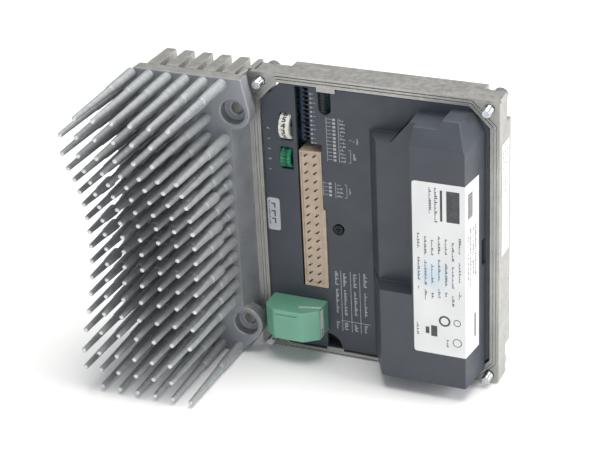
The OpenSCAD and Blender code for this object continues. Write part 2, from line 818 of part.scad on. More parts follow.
housing_tray();
heatsink_plate();
cooling_fins();
cooling_pins();
captive_screw(0);  // captive_screw_tl
captive_screw(1);  // captive_screw_tr
captive_screw(2);  // captive_screw_bl
captive_screw(3);  // captive_screw_br
lock_washer(0);  // lock_washer_tl
lock_washer(1);  // lock_washer_tr
lock_washer(2);  // lock_washer_bl
lock_washer(3);  // lock_washer_br
inner_cover();
cover_screw();
control_board();
power_board();
board_screws();
board_link();
signal_connector();
connector_contacts();
dip_switch_bodies();
dip_slider(0);  // dip_slider_1
dip_slider(1);  // dip_slider_2
dip_slider(2);  // dip_slider_3
dip_slider(3);  // dip_slider_4
dip_slider(4);  // dip_slider_5
dip_slider(5);  // dip_slider_6
dip_slider(6);  // dip_slider_7
dip_slider(7);  // dip_slider_8
dip_slider(8);  // dip_slider_9
dip_slider(9);  // dip_slider_10
dip_slider(10);  // dip_slider_11
dip_slider(11);  // dip_slider_12
setpoint_wheel();
ramp_wheel();
wheel_bracket();
module_shell();
module_board();
module_pins();
module_socket();
dc_link_capacitors();
choke_core();
choke_winding();
transformer_core();
transformer_winding();
brake_relay();
power_module();
thermal_pad();
potentiometer_body();
potentiometer_rotor();
potentiometer_plug();
potentiometer_seal();
diagnostic_socket();
diagnostic_plug();
diagnostic_seal();
status_led();
light_guide();
type_label();
test_label();
side_label();
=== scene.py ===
"""Looks of a servo drive's electronics unit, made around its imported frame.

The unit stands on its lower edge. X runs to the right, Y to the back and Z up, in metres, and the origin
is the centre of the four cover screws on the sealing rim. Lengths in this file are in millimetres and
are turned to metres where a mesh is made.
"""
import json
import logging
import math
import random
from collections.abc import Iterable, Sequence
from dataclasses import dataclass, field
from enum import Enum

import bmesh
import bpy
from bmesh.types import BMesh, BMVert
from mathutils import Matrix, Vector
from mathutils.geometry import area_tri

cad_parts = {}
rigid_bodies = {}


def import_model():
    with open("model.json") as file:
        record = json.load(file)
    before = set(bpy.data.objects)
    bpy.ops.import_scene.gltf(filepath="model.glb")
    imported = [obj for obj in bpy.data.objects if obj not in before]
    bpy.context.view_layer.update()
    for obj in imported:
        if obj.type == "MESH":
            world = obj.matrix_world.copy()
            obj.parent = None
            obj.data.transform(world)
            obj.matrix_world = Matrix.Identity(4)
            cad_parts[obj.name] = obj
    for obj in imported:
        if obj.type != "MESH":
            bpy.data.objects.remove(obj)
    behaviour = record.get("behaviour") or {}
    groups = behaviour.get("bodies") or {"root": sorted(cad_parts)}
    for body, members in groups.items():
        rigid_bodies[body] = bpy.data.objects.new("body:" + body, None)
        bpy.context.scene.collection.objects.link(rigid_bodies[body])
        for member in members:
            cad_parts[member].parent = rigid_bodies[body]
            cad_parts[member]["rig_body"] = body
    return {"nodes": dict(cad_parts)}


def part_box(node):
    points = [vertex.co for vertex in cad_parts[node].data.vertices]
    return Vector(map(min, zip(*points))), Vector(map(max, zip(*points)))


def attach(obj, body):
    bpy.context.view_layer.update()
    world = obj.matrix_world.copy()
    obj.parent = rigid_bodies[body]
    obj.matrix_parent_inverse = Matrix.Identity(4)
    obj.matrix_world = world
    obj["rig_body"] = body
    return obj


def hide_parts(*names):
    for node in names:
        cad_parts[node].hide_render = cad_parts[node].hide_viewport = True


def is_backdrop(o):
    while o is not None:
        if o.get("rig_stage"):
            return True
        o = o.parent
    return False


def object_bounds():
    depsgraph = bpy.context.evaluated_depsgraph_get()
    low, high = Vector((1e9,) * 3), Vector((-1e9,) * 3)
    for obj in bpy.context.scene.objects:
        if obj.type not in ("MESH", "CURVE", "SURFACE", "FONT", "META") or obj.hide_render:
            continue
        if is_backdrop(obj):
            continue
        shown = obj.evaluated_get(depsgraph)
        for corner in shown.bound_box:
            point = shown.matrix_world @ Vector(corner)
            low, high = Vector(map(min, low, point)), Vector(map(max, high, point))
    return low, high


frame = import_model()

LOG = logging.getLogger("servo_drive")
MM = 0.001
MERGE = 1e-6  # metres
FOLD_AREA = 1e-8  # square metres
MOST_FOLDED = 60  # planes kept sharp before a copy is taken as it stands
FRONT = Vector((0.0, -1.0, 0.0))


# ---- colours and nodes ----


def linear(hex_colour: str) -> tuple[float, float, float, float]:
    """Turns an sRGB colour into the linear values that a shader takes.

    Args:
        hex_colour: The colour as "#rrggbb".

    Returns:
        Linear red, green and blue, and an alpha of 1.
    """
    channels = [int(hex_colour[k:k + 2], 16) / 255 for k in (1, 3, 5)]
    red, green, blue = (c / 12.92 if c <= 0.04045 else ((c + 0.055) / 1.055) ** 2.4 for c in channels)
    return red, green, blue, 1.0


def add_node(
    tree: bpy.types.NodeTree, kind: str, inputs: dict | None = None, **settings: object
) -> bpy.types.Node:
    """Adds a node with its settings and links.

    Args:
        tree: The node tree that takes it.
        kind: The node's type name.
        inputs: Values, or sockets to link from, by the input's name or number.
        **settings: Properties to set on the node first.

    Returns:
        The new node.
    """
    node = tree.nodes.new(kind)
    for key, value in settings.items():
        setattr(node, key, value)
    for socket, value in (inputs or {}).items():
        if isinstance(value, bpy.types.NodeSocket):
            tree.links.new(value, node.inputs[socket])
        else:
            node.inputs[socket].default_value = value
    return node


def per_mm(size: float) -> float:
    """Texture scale at which one feature measures size, in mm, on Object coordinates."""
    return 1 / (size * MM)


MIX_FACTOR, MIX_A, MIX_B, MIX_RESULT = 0, 6, 7, 2  # sockets of a Mix node that mixes colours


# ---- finishes ----


@dataclass(frozen=True)
class Finish:
    """A finish with a fine grain, soft patches of a second shade and a wandering roughness.

    Lengths are in mm: the size of the grain and its depth, and the size of the patches. The grain is drawn
    coarser than real so that it shows.
    """

    name: str
    colour: str
    shade: str
    roughness: float
    metallic: float = 0.0
    grain: float = 0.5
    depth: float = 0.02
    patch: float = 9.0
    wander: float = 0.1
    coat: float = 0.0

    def tint(self, tree: bpy.types.NodeTree, place: bpy.types.NodeSocket) -> bpy.types.NodeSocket:
        """Colour over the surface: the shade in soft patches on the main colour."""
        cloudy = add_node(
            tree, "ShaderNodeTexNoise", {"Vector": place, "Scale": per_mm(self.patch), "Detail": 4.0}
        )
        patches = add_node(tree, "ShaderNodeMapRange", {
            "Value": cloudy.outputs["Fac"], "From Min": 0.35, "From Max": 0.7,
        })
        mixed = add_node(tree, "ShaderNodeMix", {
            MIX_FACTOR: patches.outputs["Result"], MIX_A: linear(self.colour), MIX_B: linear(self.shade),
        }, data_type="RGBA")
        return mixed.outputs[MIX_RESULT]

    def relief(self, tree: bpy.types.NodeTree, place: bpy.types.NodeSocket) -> bpy.types.NodeSocket:
        """Height over the surface, from 0 to 1."""
        grain = add_node(tree, "ShaderNodeTexNoise", {"Vector": place, "Scale": per_mm(self.grain)})
        return grain.outputs["Fac"]

    def dress(self, shader: bpy.types.Node) -> None:
        """Sets what only this kind of finish needs on the shader."""

    def material(self) -> bpy.types.Material:
        """Makes the material, or finds it if it was made before.

        Returns:
            The material of that name.
        """
        found = bpy.data.materials.get(self.name)
        if found:
            return found
        made = bpy.data.materials.new(self.name)
        made.use_nodes = True
        tree = made.node_tree
        shader = tree.nodes["Principled BSDF"]
        place = add_node(tree, "ShaderNodeTexCoord").outputs["Object"]
        bump = add_node(tree, "ShaderNodeBump", {
            "Height": self.relief(tree, place), "Distance": self.depth * MM, "Strength": 1.0,
        })
        uneven = add_node(tree, "ShaderNodeTexNoise", {"Vector": place, "Scale": per_mm(self.patch / 3)})
        rough = add_node(tree, "ShaderNodeMapRange", {
            "Value": uneven.outputs["Fac"], "From Min": 0.3, "From Max": 0.7,
            "To Min": self.roughness - self.wander, "To Max": self.roughness + self.wander,
        })
        tree.links.new(self.tint(tree, place), shader.inputs["Base Color"])
        tree.links.new(rough.outputs["Result"], shader.inputs["Roughness"])
        tree.links.new(bump.outputs["Normal"], shader.inputs["Normal"])
        shader.inputs["Metallic"].default_value = self.metallic
        shader.inputs["Coat Weight"].default_value = self.coat
        self.dress(shader)
        return made


@dataclass(frozen=True)
class CastMetal(Finish):
    """Die-cast aluminium: blasted grain, pits where gas was trapped, and rubbed bright edges."""

    edge: str = "#e2e2df"
    edge_width: float = 0.6
    worn: float = 0.5
    pit: float = 6.0
    stain: str = "#5c5a55"
    waves: float = 0.35  # share of the broad waves in the relief

    def tint(self, tree: bpy.types.NodeTree, place: bpy.types.NodeSocket) -> bpy.types.NodeSocket:
        """Patches, darker pits, and lighter rubbed edges."""
        cells = add_node(tree, "ShaderNodeTexVoronoi", {"Vector": place, "Scale": per_mm(self.pit)})
        pits = add_node(tree, "ShaderNodeMapRange", {
            "Value": cells.outputs["Distance"], "From Min": 0.05, "From Max": 0.1, "To Min": 0.6,
            "To Max": 0.0,
        })
        pitted = add_node(tree, "ShaderNodeMix", {
            MIX_FACTOR: pits.outputs["Result"], MIX_A: super().tint(tree, place), MIX_B: linear(self.stain),
        }, data_type="RGBA")
        rounded = add_node(tree, "ShaderNodeBevel", {"Radius": self.edge_width * MM}, samples=4)
        facing = add_node(tree, "ShaderNodeNewGeometry")
        along = add_node(
            tree, "ShaderNodeVectorMath", {0: rounded.outputs["Normal"], 1: facing.outputs["Normal"]},
            operation="DOT_PRODUCT",
        )
        rubbed = add_node(tree, "ShaderNodeMapRange", {
            "Value": along.outputs["Value"], "From Min": 0.99, "From Max": 0.86, "To Min": 0.0,
            "To Max": self.worn,
        })
        mixed = add_node(tree, "ShaderNodeMix", {
            MIX_FACTOR: rubbed.outputs["Result"], MIX_A: pitted.outputs[MIX_RESULT], MIX_B: linear(self.edge),
        }, data_type="RGBA")
        return mixed.outputs[MIX_RESULT]

    def relief(self, tree: bpy.types.NodeTree, place: bpy.types.NodeSocket) -> bpy.types.NodeSocket:
        """Blasted grain over the broader waves that the melt leaves."""
        broad = add_node(tree, "ShaderNodeTexNoise", {"Vector": place, "Scale": per_mm(self.grain * 7)})
        made = add_node(tree, "ShaderNodeMath", {
            0: broad.outputs["Fac"], 1: self.waves, 2: super().relief(tree, place),
        }, operation="MULTIPLY_ADD")
        return made.outputs["Value"]


@dataclass(frozen=True)
class Laminate(Finish):
    """Circuit board: solder resist over raised copper tracks, drawn coarser than real so that they show."""

    track: str = "#2c5450"
    pitch: float = 1.6

    def tracks(self, tree: bpy.types.NodeTree, place: bpy.types.NodeSocket) -> bpy.types.NodeSocket:
        """Mask of the copper, 1 on a track."""
        turned = add_node(tree, "ShaderNodeMapping", {"Vector": place, "Rotation": (math.pi / 2, 0.0, 0.0)})
        bare, copper = (0.0, 0.0, 0.0, 1.0), (1.0, 1.0, 1.0, 1.0)
        bricks = add_node(tree, "ShaderNodeTexBrick", {
            "Vector": turned.outputs["Vector"], "Color1": bare, "Color2": bare,
            "Mortar": copper, "Scale": per_mm(self.pitch * 4), "Mortar Size": 0.07,
            "Brick Width": 1.3, "Row Height": 0.28,
        }, offset=0.37, squash=1.7)
        return bricks.outputs["Color"]

    def tint(self, tree: bpy.types.NodeTree, place: bpy.types.NodeSocket) -> bpy.types.NodeSocket:
        """Lighter green over the tracks."""
        mixed = add_node(tree, "ShaderNodeMix", {
            MIX_FACTOR: self.tracks(tree, place), MIX_A: super().tint(tree, place), MIX_B: linear(self.track),
        }, data_type="RGBA")
        return mixed.outputs[MIX_RESULT]

    def relief(self, tree: bpy.types.NodeTree, place: bpy.types.NodeSocket) -> bpy.types.NodeSocket:
        """The tracks' own thickness."""
        return self.tracks(tree, place)


@dataclass(frozen=True)
class Film(Finish):
    """Printed polyester film with a smudge that handling has left."""

    smudge: str = "#a9cbe0"
    smudge_at: tuple[float, float, float] = (40.0, -23.8, -8.0)
    smudge_size: float = 11.0

    def tint(self, tree: bpy.types.NodeTree, place: bpy.types.NodeSocket) -> bpy.types.NodeSocket:
        """The film's white with one soft bluish smudge."""
        centred = add_node(tree, "ShaderNodeVectorMath", {
            0: place, 1: tuple(v * MM for v in self.smudge_at),
        }, operation="DISTANCE")
        wavy = add_node(tree, "ShaderNodeTexNoise", {"Vector": place, "Scale": per_mm(7.0), "Detail": 4.0})
        uneven = add_node(tree, "ShaderNodeMath", {
            0: wavy.outputs["Fac"], 1: self.smudge_size * MM, 2: centred.outputs["Value"],
        }, operation="MULTIPLY_ADD")
        mask = add_node(tree, "ShaderNodeMapRange", {
            "Value": uneven.outputs["Value"], "From Min": 0.55 * self.smudge_size * MM,
            "From Max": 1.6 * self.smudge_size * MM, "To Min": 0.6, "To Max": 0.0,
        })
        mixed = add_node(tree, "ShaderNodeMix", {
            MIX_FACTOR: mask.outputs["Result"], MIX_A: super().tint(tree, place), MIX_B: linear(self.smudge),
        }, data_type="RGBA")
        return mixed.outputs[MIX_RESULT]


@dataclass(frozen=True)
class Clear(Finish):
    """Polished clear plastic, which lets light through."""

    def dress(self, shader: bpy.types.Node) -> None:
        """Lets most of the light through."""
        shader.inputs["Transmission Weight"].default_value = 0.85
        shader.inputs["IOR"].default_value = 1.49


@dataclass(frozen=True)
class Wound(Finish):
    """Enamelled copper wire, laid in close turns."""

    wire: float = 0.7

    def relief(self, tree: bpy.types.NodeTree, place: bpy.types.NodeSocket) -> bpy.types.NodeSocket:
        """Round wires side by side, drawn a little thicker than real so that they show."""
        bands = add_node(tree, "ShaderNodeTexWave", {
            "Vector": place, "Scale": per_mm(self.wire) / math.tau * 0.5, "Distortion": 0.4,
        }, bands_direction="DIAGONAL")
        return bands.outputs["Fac"]


# Die-cast aluminium, blasted: a matte warm grey with pits and rubbed edges.
TRAY_CAST = CastMetal("aluminium_cast_blasted_tray", "#adaca8", "#a3a29e", 0.44, 0.8, grain=0.6, depth=0.03)
# The same die-cast aluminium, bluer and darker, with a rough skin: the plate's faces other than its tops take
# it as painted shade against the lighter tops.
SHADED_SINK_CAST = CastMetal("aluminium_cast_heat_sink_shaded", "#9a9da1", "#8b8e92", 0.48, 0.55, grain=0.5, depth=0.05,
                      patch=14.0, edge="#b9bbbc", worn=0.35, stain="#55565a")
# The skin of the cast pins: lighter than the plate, dull and speckled by the mould.
PIN_CAST = CastMetal("aluminium_cast_pin", "#a9acae", "#989b9d", 0.52, 0.4, grain=0.5, depth=0.06, patch=3.0,
                     edge="#a5a8a9", worn=0.0, pit=4.0, stain="#6c6e70")
# The flat ends of the cast pins in a much lighter, matte colour: painted highlight where the light in front
# falls on them.
PIN_END_HIGHLIGHT = Finish("aluminium_pin_end_highlight", "#dcdddc", "#c5c6c6", 0.38, 0.5, grain=0.3, depth=0.02, patch=2.0)
# Zinc-plated steel: bright, a little blue, with the lines of its machining.
ZINC_STEEL = Finish("steel_zinc_plated", "#c9cccf", "#aeb3b8", 0.28, 1.0, grain=0.25, depth=0.01, patch=3.0)
# Spring steel, phosphated and oiled: a darker satin grey.
SPRING_STEEL = Finish("steel_spring_phosphated", "#7c7f82", "#66696c", 0.4, 1.0, grain=0.3, patch=3.0)
# Blackened steel of the small cover screw.
BLACK_STEEL = Finish("steel_blackened", "#3b3c3f", "#2b2c2e", 0.38, 1.0, grain=0.25, patch=2.0)
# Glass-filled polyamide with a spark-eroded texture: a matte, slightly bluish charcoal.
COVER_PLASTIC = Finish("polyamide_charcoal_eroded", "#40454d", "#3a3f47", 0.48, grain=0.35, depth=0.02,
                       patch=26.0, wander=0.07)
# Black moulded polyamide of sockets and brackets.
BLACK_PLASTIC = Finish("polyamide_black", "#26272a", "#1f2022", 0.5, grain=0.3, depth=0.01)
# Cream glass-filled polyester of the terminal strip: warm, dry and slightly waxy. It also stands for the
# ceramic of the small board parts.
CREAM_PLASTIC = Finish("polyester_cream", "#bfae9c", "#b19e88", 0.55, grain=0.5, depth=0.01, patch=6.0)
# Tinned bronze contacts and legs: pale and bright.
TINNED = Finish("bronze_tinned", "#c4b58c", "#a89a72", 0.3, 1.0, grain=0.2, depth=0.005, patch=1.5)
# Blue thermoplastic of the switch banks and the trimmer, satin, and darkened so that the switch window reads
# dark: painted shade.
SWITCH_BLUE = Finish("pbt_switch_blue", "#24344f", "#1e2c45", 0.4, grain=0.3, depth=0.008)
# White acetal of the numbered wheel and the trimmer's rotor.
ACETAL_WHITE = Finish("acetal_white", "#e9e8e0", "#dddbd0", 0.36, grain=0.4, depth=0.006, patch=4.0)
# Green acetal of the ramp wheel.
ACETAL_GREEN = Finish("acetal_green", "#1f8a62", "#177350", 0.36, grain=0.4, depth=0.006, patch=4.0)
# Mint green ABS of the plug-in module, with a satin moulded skin.
MODULE_ABS = Finish("abs_mint_green", "#72ab92", "#6aa289", 0.4, grain=0.4, depth=0.012, patch=16.0)
# Solder resist over copper on glass-fibre laminate.
CONTROL_BOARD = Laminate("laminate_resist_teal", "#22393f", "#1d3238", 0.35, depth=0.035, coat=0.3)
POWER_BOARD = Laminate("laminate_resist_green", "#1c5a3a", "#174c30", 0.3, depth=0.07, coat=0.4, pitch=3.2)
# Shrink sleeve of an electrolytic capacitor: glossy, near black.
SLEEVE = Finish("pvc_sleeve_midnight", "#1b2030", "#161a27", 0.25, grain=1.2, depth=0.02)
# Sintered ferrite: dry, dark grey and slightly speckled.
FERRITE = Finish("ferrite_sintered", "#3a3a3d", "#2c2c2e", 0.62, grain=0.3, depth=0.04, patch=1.2)
# Enamelled copper wire: orange brown under clear varnish.
COPPER_WIRE = Wound("copper_enamelled", "#b3622f", "#94501f", 0.3, 1.0, depth=0.25, coat=0.6)
# Polyester tape round the transformer's winding: amber and glossy.
AMBER_TAPE = Wound("polyester_tape_amber", "#b8963f", "#a5842f", 0.28, depth=0.08, wire=3.0, coat=0.4)
# Blue thermoplastic case of the relay.
RELAY_BLUE = Finish("pbt_relay_blue", "#22528a", "#1d477a", 0.4, grain=0.3, depth=0.008)
# Moulded epoxy of chips and the power module: matte black with a sparkle of filler.
EPOXY = Finish("epoxy_moulded_black", "#28292b", "#202123", 0.55, grain=0.18, depth=0.012, patch=3.0)
# Filled silicone pad.
SILICONE_PAD = Finish("silicone_pad_grey", "#a8a9ab", "#9c9d9f", 0.7, grain=0.8, depth=0.02)
# Dark grey polyamide of the screw plugs and the switch sliders; the sliders take it so that the switch window
# reads dark: painted shade.
PLUG_PLASTIC = Finish("polyamide_dark_grey", "#323336", "#2a2b2e", 0.5, grain=0.35, depth=0.02)
# Nitrile rubber of the seals.
RUBBER = Finish("rubber_nitrile", "#17181a", "#121314", 0.65, grain=0.3, depth=0.02)
# Polished clear polycarbonate.
CLEAR_PLASTIC = Clear("polycarbonate_clear", "#eef3f2", "#e4eceb", 0.08, grain=2.0, depth=0.002, wander=0.03)
# Polyester label film: smooth, white and a little glossy.
LABEL_FILM = Film("film_polyester_white", "#e4e5e4", "#dadbdb", 0.4, grain=1.5, depth=0.004, patch=20.0)
# Silver-grey film of the small test label.
GREY_FILM = Finish("film_polyester_silver", "#b9bcc2", "#abaeb5", 0.36, 0.2, grain=1.2, depth=0.004)
# Screen-printed inks.
WHITE_INK = Finish("ink_white", "#b4b7ba", "#9da0a4", 0.6, grain=0.4, depth=0.004, patch=3.0)
BLACK_INK = Finish("ink_black", "#3a3b3e", "#4a4b4e", 0.5, grain=0.4, depth=0.004, patch=3.0)
PALE_INK = Finish("ink_pale_green", "#e4eae6", "#d3dcd7", 0.55, grain=0.4, depth=0.004, patch=3.0)
GREEN_INK = Finish("ink_dark_green", "#0f4a36", "#0c3f2e", 0.5, grain=0.4, depth=0.004, patch=3.0)


# ---- mesh tools ----


def point(x: float, y: float, z: float) -> Vector:
    """A point in metres from its place in mm."""
    return Vector((x, y, z)) * MM


def add_box(bm: BMesh, low: Vector, high: Vector) -> list[BMVert]:
    """Adds a box between two corners in metres and returns its vertices."""
    size = high - low
    matrix = Matrix.Translation((low + high) / 2) @ Matrix.Diagonal((*size, 1.0))
    return bmesh.ops.create_cube(bm, size=1.0, matrix=matrix)["verts"]


def add_turned(
    bm: BMesh, profile: Iterable[tuple[float, float]], origin: Vector, axis: Vector, steps: int = 20
) -> None:
    """Spins a profile of (radius, distance along the axis) pairs, in mm, into a round solid.

    Args:
        bm: The mesh that takes it.
        profile: The points from one pole to the other.
        origin: The point in metres from which the distances run.
        axis: The unit vector along which they run.
        steps: Number of sides.
    """
    side = axis.orthogonal().normalized()
    verts = [bm.verts.new(origin + (side * r + axis * a) * MM) for r, a in profile]
    edges = [bm.edges.new(pair) for pair in zip(verts, verts[1:])]
    bmesh.ops.spin(
        bm, geom=verts + edges, cent=origin, axis=axis, angle=math.tau, steps=steps, use_merge=True,
        use_duplicate=False,
    )


def close_up(bm: BMesh) -> None:
    """Merges doubled points, such as poles, and turns the faces outwards."""
    bmesh.ops.remove_doubles(bm, verts=bm.verts, dist=MERGE)
    bmesh.ops.recalc_face_normals(bm, faces=bm.faces)


@dataclass(frozen=True)
class Plane:
    """A plane by its unit normal and its distance from the origin, in metres."""

    normal: Vector
    distance: float

    def holds(self, face: bmesh.types.BMFace) -> bool:
        """True if a face lies in the plane and looks the same way."""
        near = abs(face.verts[0].co.dot(self.normal) - self.distance) < 20 * MERGE
        return near and face.normal.dot(self.normal) > 0.999


def copy_of(node: str) -> BMesh:
    """A copy of a CAD node's mesh, merged, with its flat faces joined."""
    bm = bmesh.new()
    bm.from_mesh(frame["nodes"][node].data)
    bmesh.ops.remove_doubles(bm, verts=bm.verts, dist=MERGE)
    bmesh.ops.dissolve_limit(bm, angle_limit=math.radians(0.4), verts=bm.verts, edges=bm.edges)
    return bm


def soften(
    bm: BMesh, width: float, segments: int = 2, crease_deg: float = 32.0, sharp_planes: Iterable[Plane] = ()
) -> None:
    """Rounds the edges that have room for it.

    Args:
        bm: The mesh to change.
        width: Width of the rounding in mm.
        segments: Number of faces across it.
        crease_deg: Only edges that turn by more than this are rounded.
        sharp_planes: Planes whose flat faces keep their sharp edges.
    """
    reach = width * MM
    sharp = {
        e for e in bm.edges
        if len(e.link_faces) == 2 and e.calc_face_angle(0.0) > math.radians(crease_deg)
        and not any(plane.holds(face) for face in e.link_faces for plane in sharp_planes)
    }

    def roomy(edge: bmesh.types.BMEdge) -> bool:
        """True if no short edge at either end would be overrun."""
        for vert in edge.verts:
            other = edge.other_vert(vert).co - vert.co
            for near in vert.link_edges:
                if near is edge:
                    continue
                away = near.other_vert(vert).co - vert.co
                carries_on = near in sharp and other.angle(away, 0.0) > math.radians(140)
                if not carries_on and near.calc_length() < 2.3 * reach:
                    return False
        return True

    bmesh.ops.bevel(
        bm, geom=[e for e in sharp if roomy(e)], offset=reach, offset_type="OFFSET", segments=segments,
        profile=0.5, affect="EDGES", clamp_overlap=False, material=-1,
    )


def folded_planes(bm: BMesh) -> list[Plane]:
    """Planes of the many-sided faces that overlap themselves, so that they would cover a hole."""
    covered = [0.0] * len(bm.faces)
    bm.faces.index_update()
    for corners in bm.calc_loop_triangles():
        a, b, c = (loop.vert.co for loop in corners)
        covered[corners[0].face.index] += area_tri(a, b, c)
    return [
        Plane(f.normal.copy(), f.verts[0].co.dot(f.normal)) for f in bm.faces
        if covered[f.index] > 1.01 * f.calc_area() + FOLD_AREA
    ]


def rounded_copy(node: str, width: float, segments: int = 2) -> BMesh:
    """A copy of a CAD node with rounded edges, apart from those of a face that would fold.

    Args:
        node: The CAD node.
        width: Width of the rounding in mm.
        segments: Number of faces across it.

    Returns:
        The copy.
    """
    kept: list[Plane] = []
    while True:
        bm = copy_of(node)
        soften(bm, width, segments, sharp_planes=kept)
        folded = folded_planes(bm)
        if not folded or len(kept) > MOST_FOLDED:
            return bm
        bm.free()
        kept += folded


def body_of(node: str) -> str:
    """The body that a CAD node rides on."""
    return frame["nodes"][node]["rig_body"]


def fit(
    name: str, bm: BMesh, finishes: Finish | Sequence[Finish], like: str, replaces: Sequence[str] = (),
    crease_deg: float = 38.0,
) -> bpy.types.Object:
    """Makes a named piece of a finished mesh.

    Args:
        name: The piece's name.
        bm: Its mesh, which is freed.
        finishes: Its finish, or one for each material number of its faces.
        like: The CAD node whose body it rides on.
        replaces: CAD nodes that it stands for.
        crease_deg: Edges that turn by more than this stay sharp.

    Returns:
        The new object.
    """
    for edge in bm.edges:
        edge.smooth = len(edge.link_faces) == 2 and edge.calc_face_angle(0.0) < math.radians(crease_deg)
    for face in bm.faces:
        face.smooth = True
    mesh = bpy.data.meshes.new(name)
    bm.to_mesh(mesh)
    bm.free()
    for finish in [finishes] if isinstance(finishes, Finish) else finishes:
        mesh.materials.append(finish.material())
    piece = bpy.data.objects.new(name, mesh)
    bpy.context.scene.collection.objects.link(piece)
    weighted = piece.modifiers.new("even_normals", "WEIGHTED_NORMAL")
    weighted.keep_sharp = True
    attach(piece, body_of(like))
    if replaces:
        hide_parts(*replaces)
    LOG.info("%s: %d faces on %s", name, len(mesh.polygons), body_of(like))
    return piece


def refine(node: str, finish: Finish, width: float, segments: int = 2) -> bpy.types.Object:
    """Replaces a CAD node with a copy whose edges are rounded.

    Args:
        node: The CAD node.
        finish: Its finish.
        width: Width of the rounding in mm.
        segments: Number of faces across the rounding.

    Returns:
        The new piece.
    """
    return fit(f"{node}_piece", rounded_copy(node, width, segments), finish, node, [node])


# ---- print ----


class Mark(Enum):
    """Shapes of the blank ticks that stand for small print."""

    FULL = 1.0
    SHORT = 0.6
    LOW = 0.35


@dataclass
class Sheet:
    """A flat face that takes print. Local x and y run over it in mm and ink stands out of it."""

    origin: Vector
    right: Vector
    up: Vector
    seed: int = 1
    ink: float = 0.05
    bm: BMesh = field(default_factory=bmesh.new)

    def __post_init__(self) -> None:
        """Works out the way from local mm to the frame."""
        out = self.right.cross(self.up)
        turn = Matrix((self.right, self.up, out)).transposed().to_4x4()
        self.matrix = Matrix.Translation(self.origin) @ turn @ Matrix.Scale(MM, 4)
        self.dice = random.Random(self.seed)

    def bar(self, x0: float, y0: float, x1: float, y1: float) -> None:
        """Prints a solid bar between two corners."""
        size = Matrix.Diagonal((abs(x1 - x0), abs(y1 - y0), self.ink, 1.0))
        middle = Matrix.Translation(((x0 + x1) / 2, (y0 + y1) / 2, self.ink / 2))
        bmesh.ops.create_cube(self.bm, size=1.0, matrix=self.matrix @ middle @ size)

    def ring(self, x: float, y: float, radius: float, line: float) -> None:
        """Prints a ring of that outer radius and line width."""
        made = bmesh.ops.create_circle(
            self.bm, segments=28, radius=radius, matrix=self.matrix @ Matrix.Translation((x, y, 0.0))
        )["verts"]
        outline = list({e for v in made for e in v.link_edges})
        band = bmesh.ops.extrude_edge_only(self.bm, edges=outline)["geom"]
        inner = [g for g in band if isinstance(g, BMVert)]
        centre = self.matrix @ Vector((x, y, 0.0))
        for vert in inner:
            vert.co = centre + (vert.co - centre) * (1 - line / radius)
        faces = list({f for v in inner for f in v.link_faces})
        lifted = bmesh.ops.extrude_face_region(self.bm, geom=faces)["geom"]
        out = self.right.cross(self.up) * self.ink * MM
        bmesh.ops.translate(self.bm, verts=[g for g in lifted if isinstance(g, BMVert)], vec=out)

    def word(self, x: float, y: float, length: float, height: float, step: float = 0.95) -> None:
        """Prints a run of blank ticks downwards from a point, as small print that is turned a quarter.

        Args:
            x: Left side of the print.
            y: Its upper end.
            length: How far it runs down.
            height: Height of a tick, which lies along x.
            step: Distance from one tick to the next.
        """
        for k in range(int(length / step)):
            mark = self.dice.choice(list(Mark))
            top = y - k * step
            self.bar(x, top - 0.62 * step, x + height * mark.value, top)

    def row(self, x: float, y: float, length: float, height: float, step: float = 0.8) -> None:
        """Prints a run of blank ticks to the right from a point."""
        for k in range(int(length / step)):
            mark = self.dice.choice(list(Mark))
            left = x + k * step
            self.bar(left, y, left + 0.62 * step, y + height * mark.value)

    def fit(self, name: str, finish: Finish, like: str) -> bpy.types.Object:
        """Makes the print a piece on the body of a CAD node."""
        bmesh.ops.recalc_face_normals(self.bm, faces=self.bm.faces)
        return fit(name, self.bm, finish, like)


def front_sheet(face: float, seed: int) -> Sheet:
    """A sheet that looks to the front at that Y in mm, where local x is X and local y is Z."""
    return Sheet(point(0, face, 0), Vector((1, 0, 0)), Vector((0, 0, 1)), seed)


# ---- sub-assemblies ----


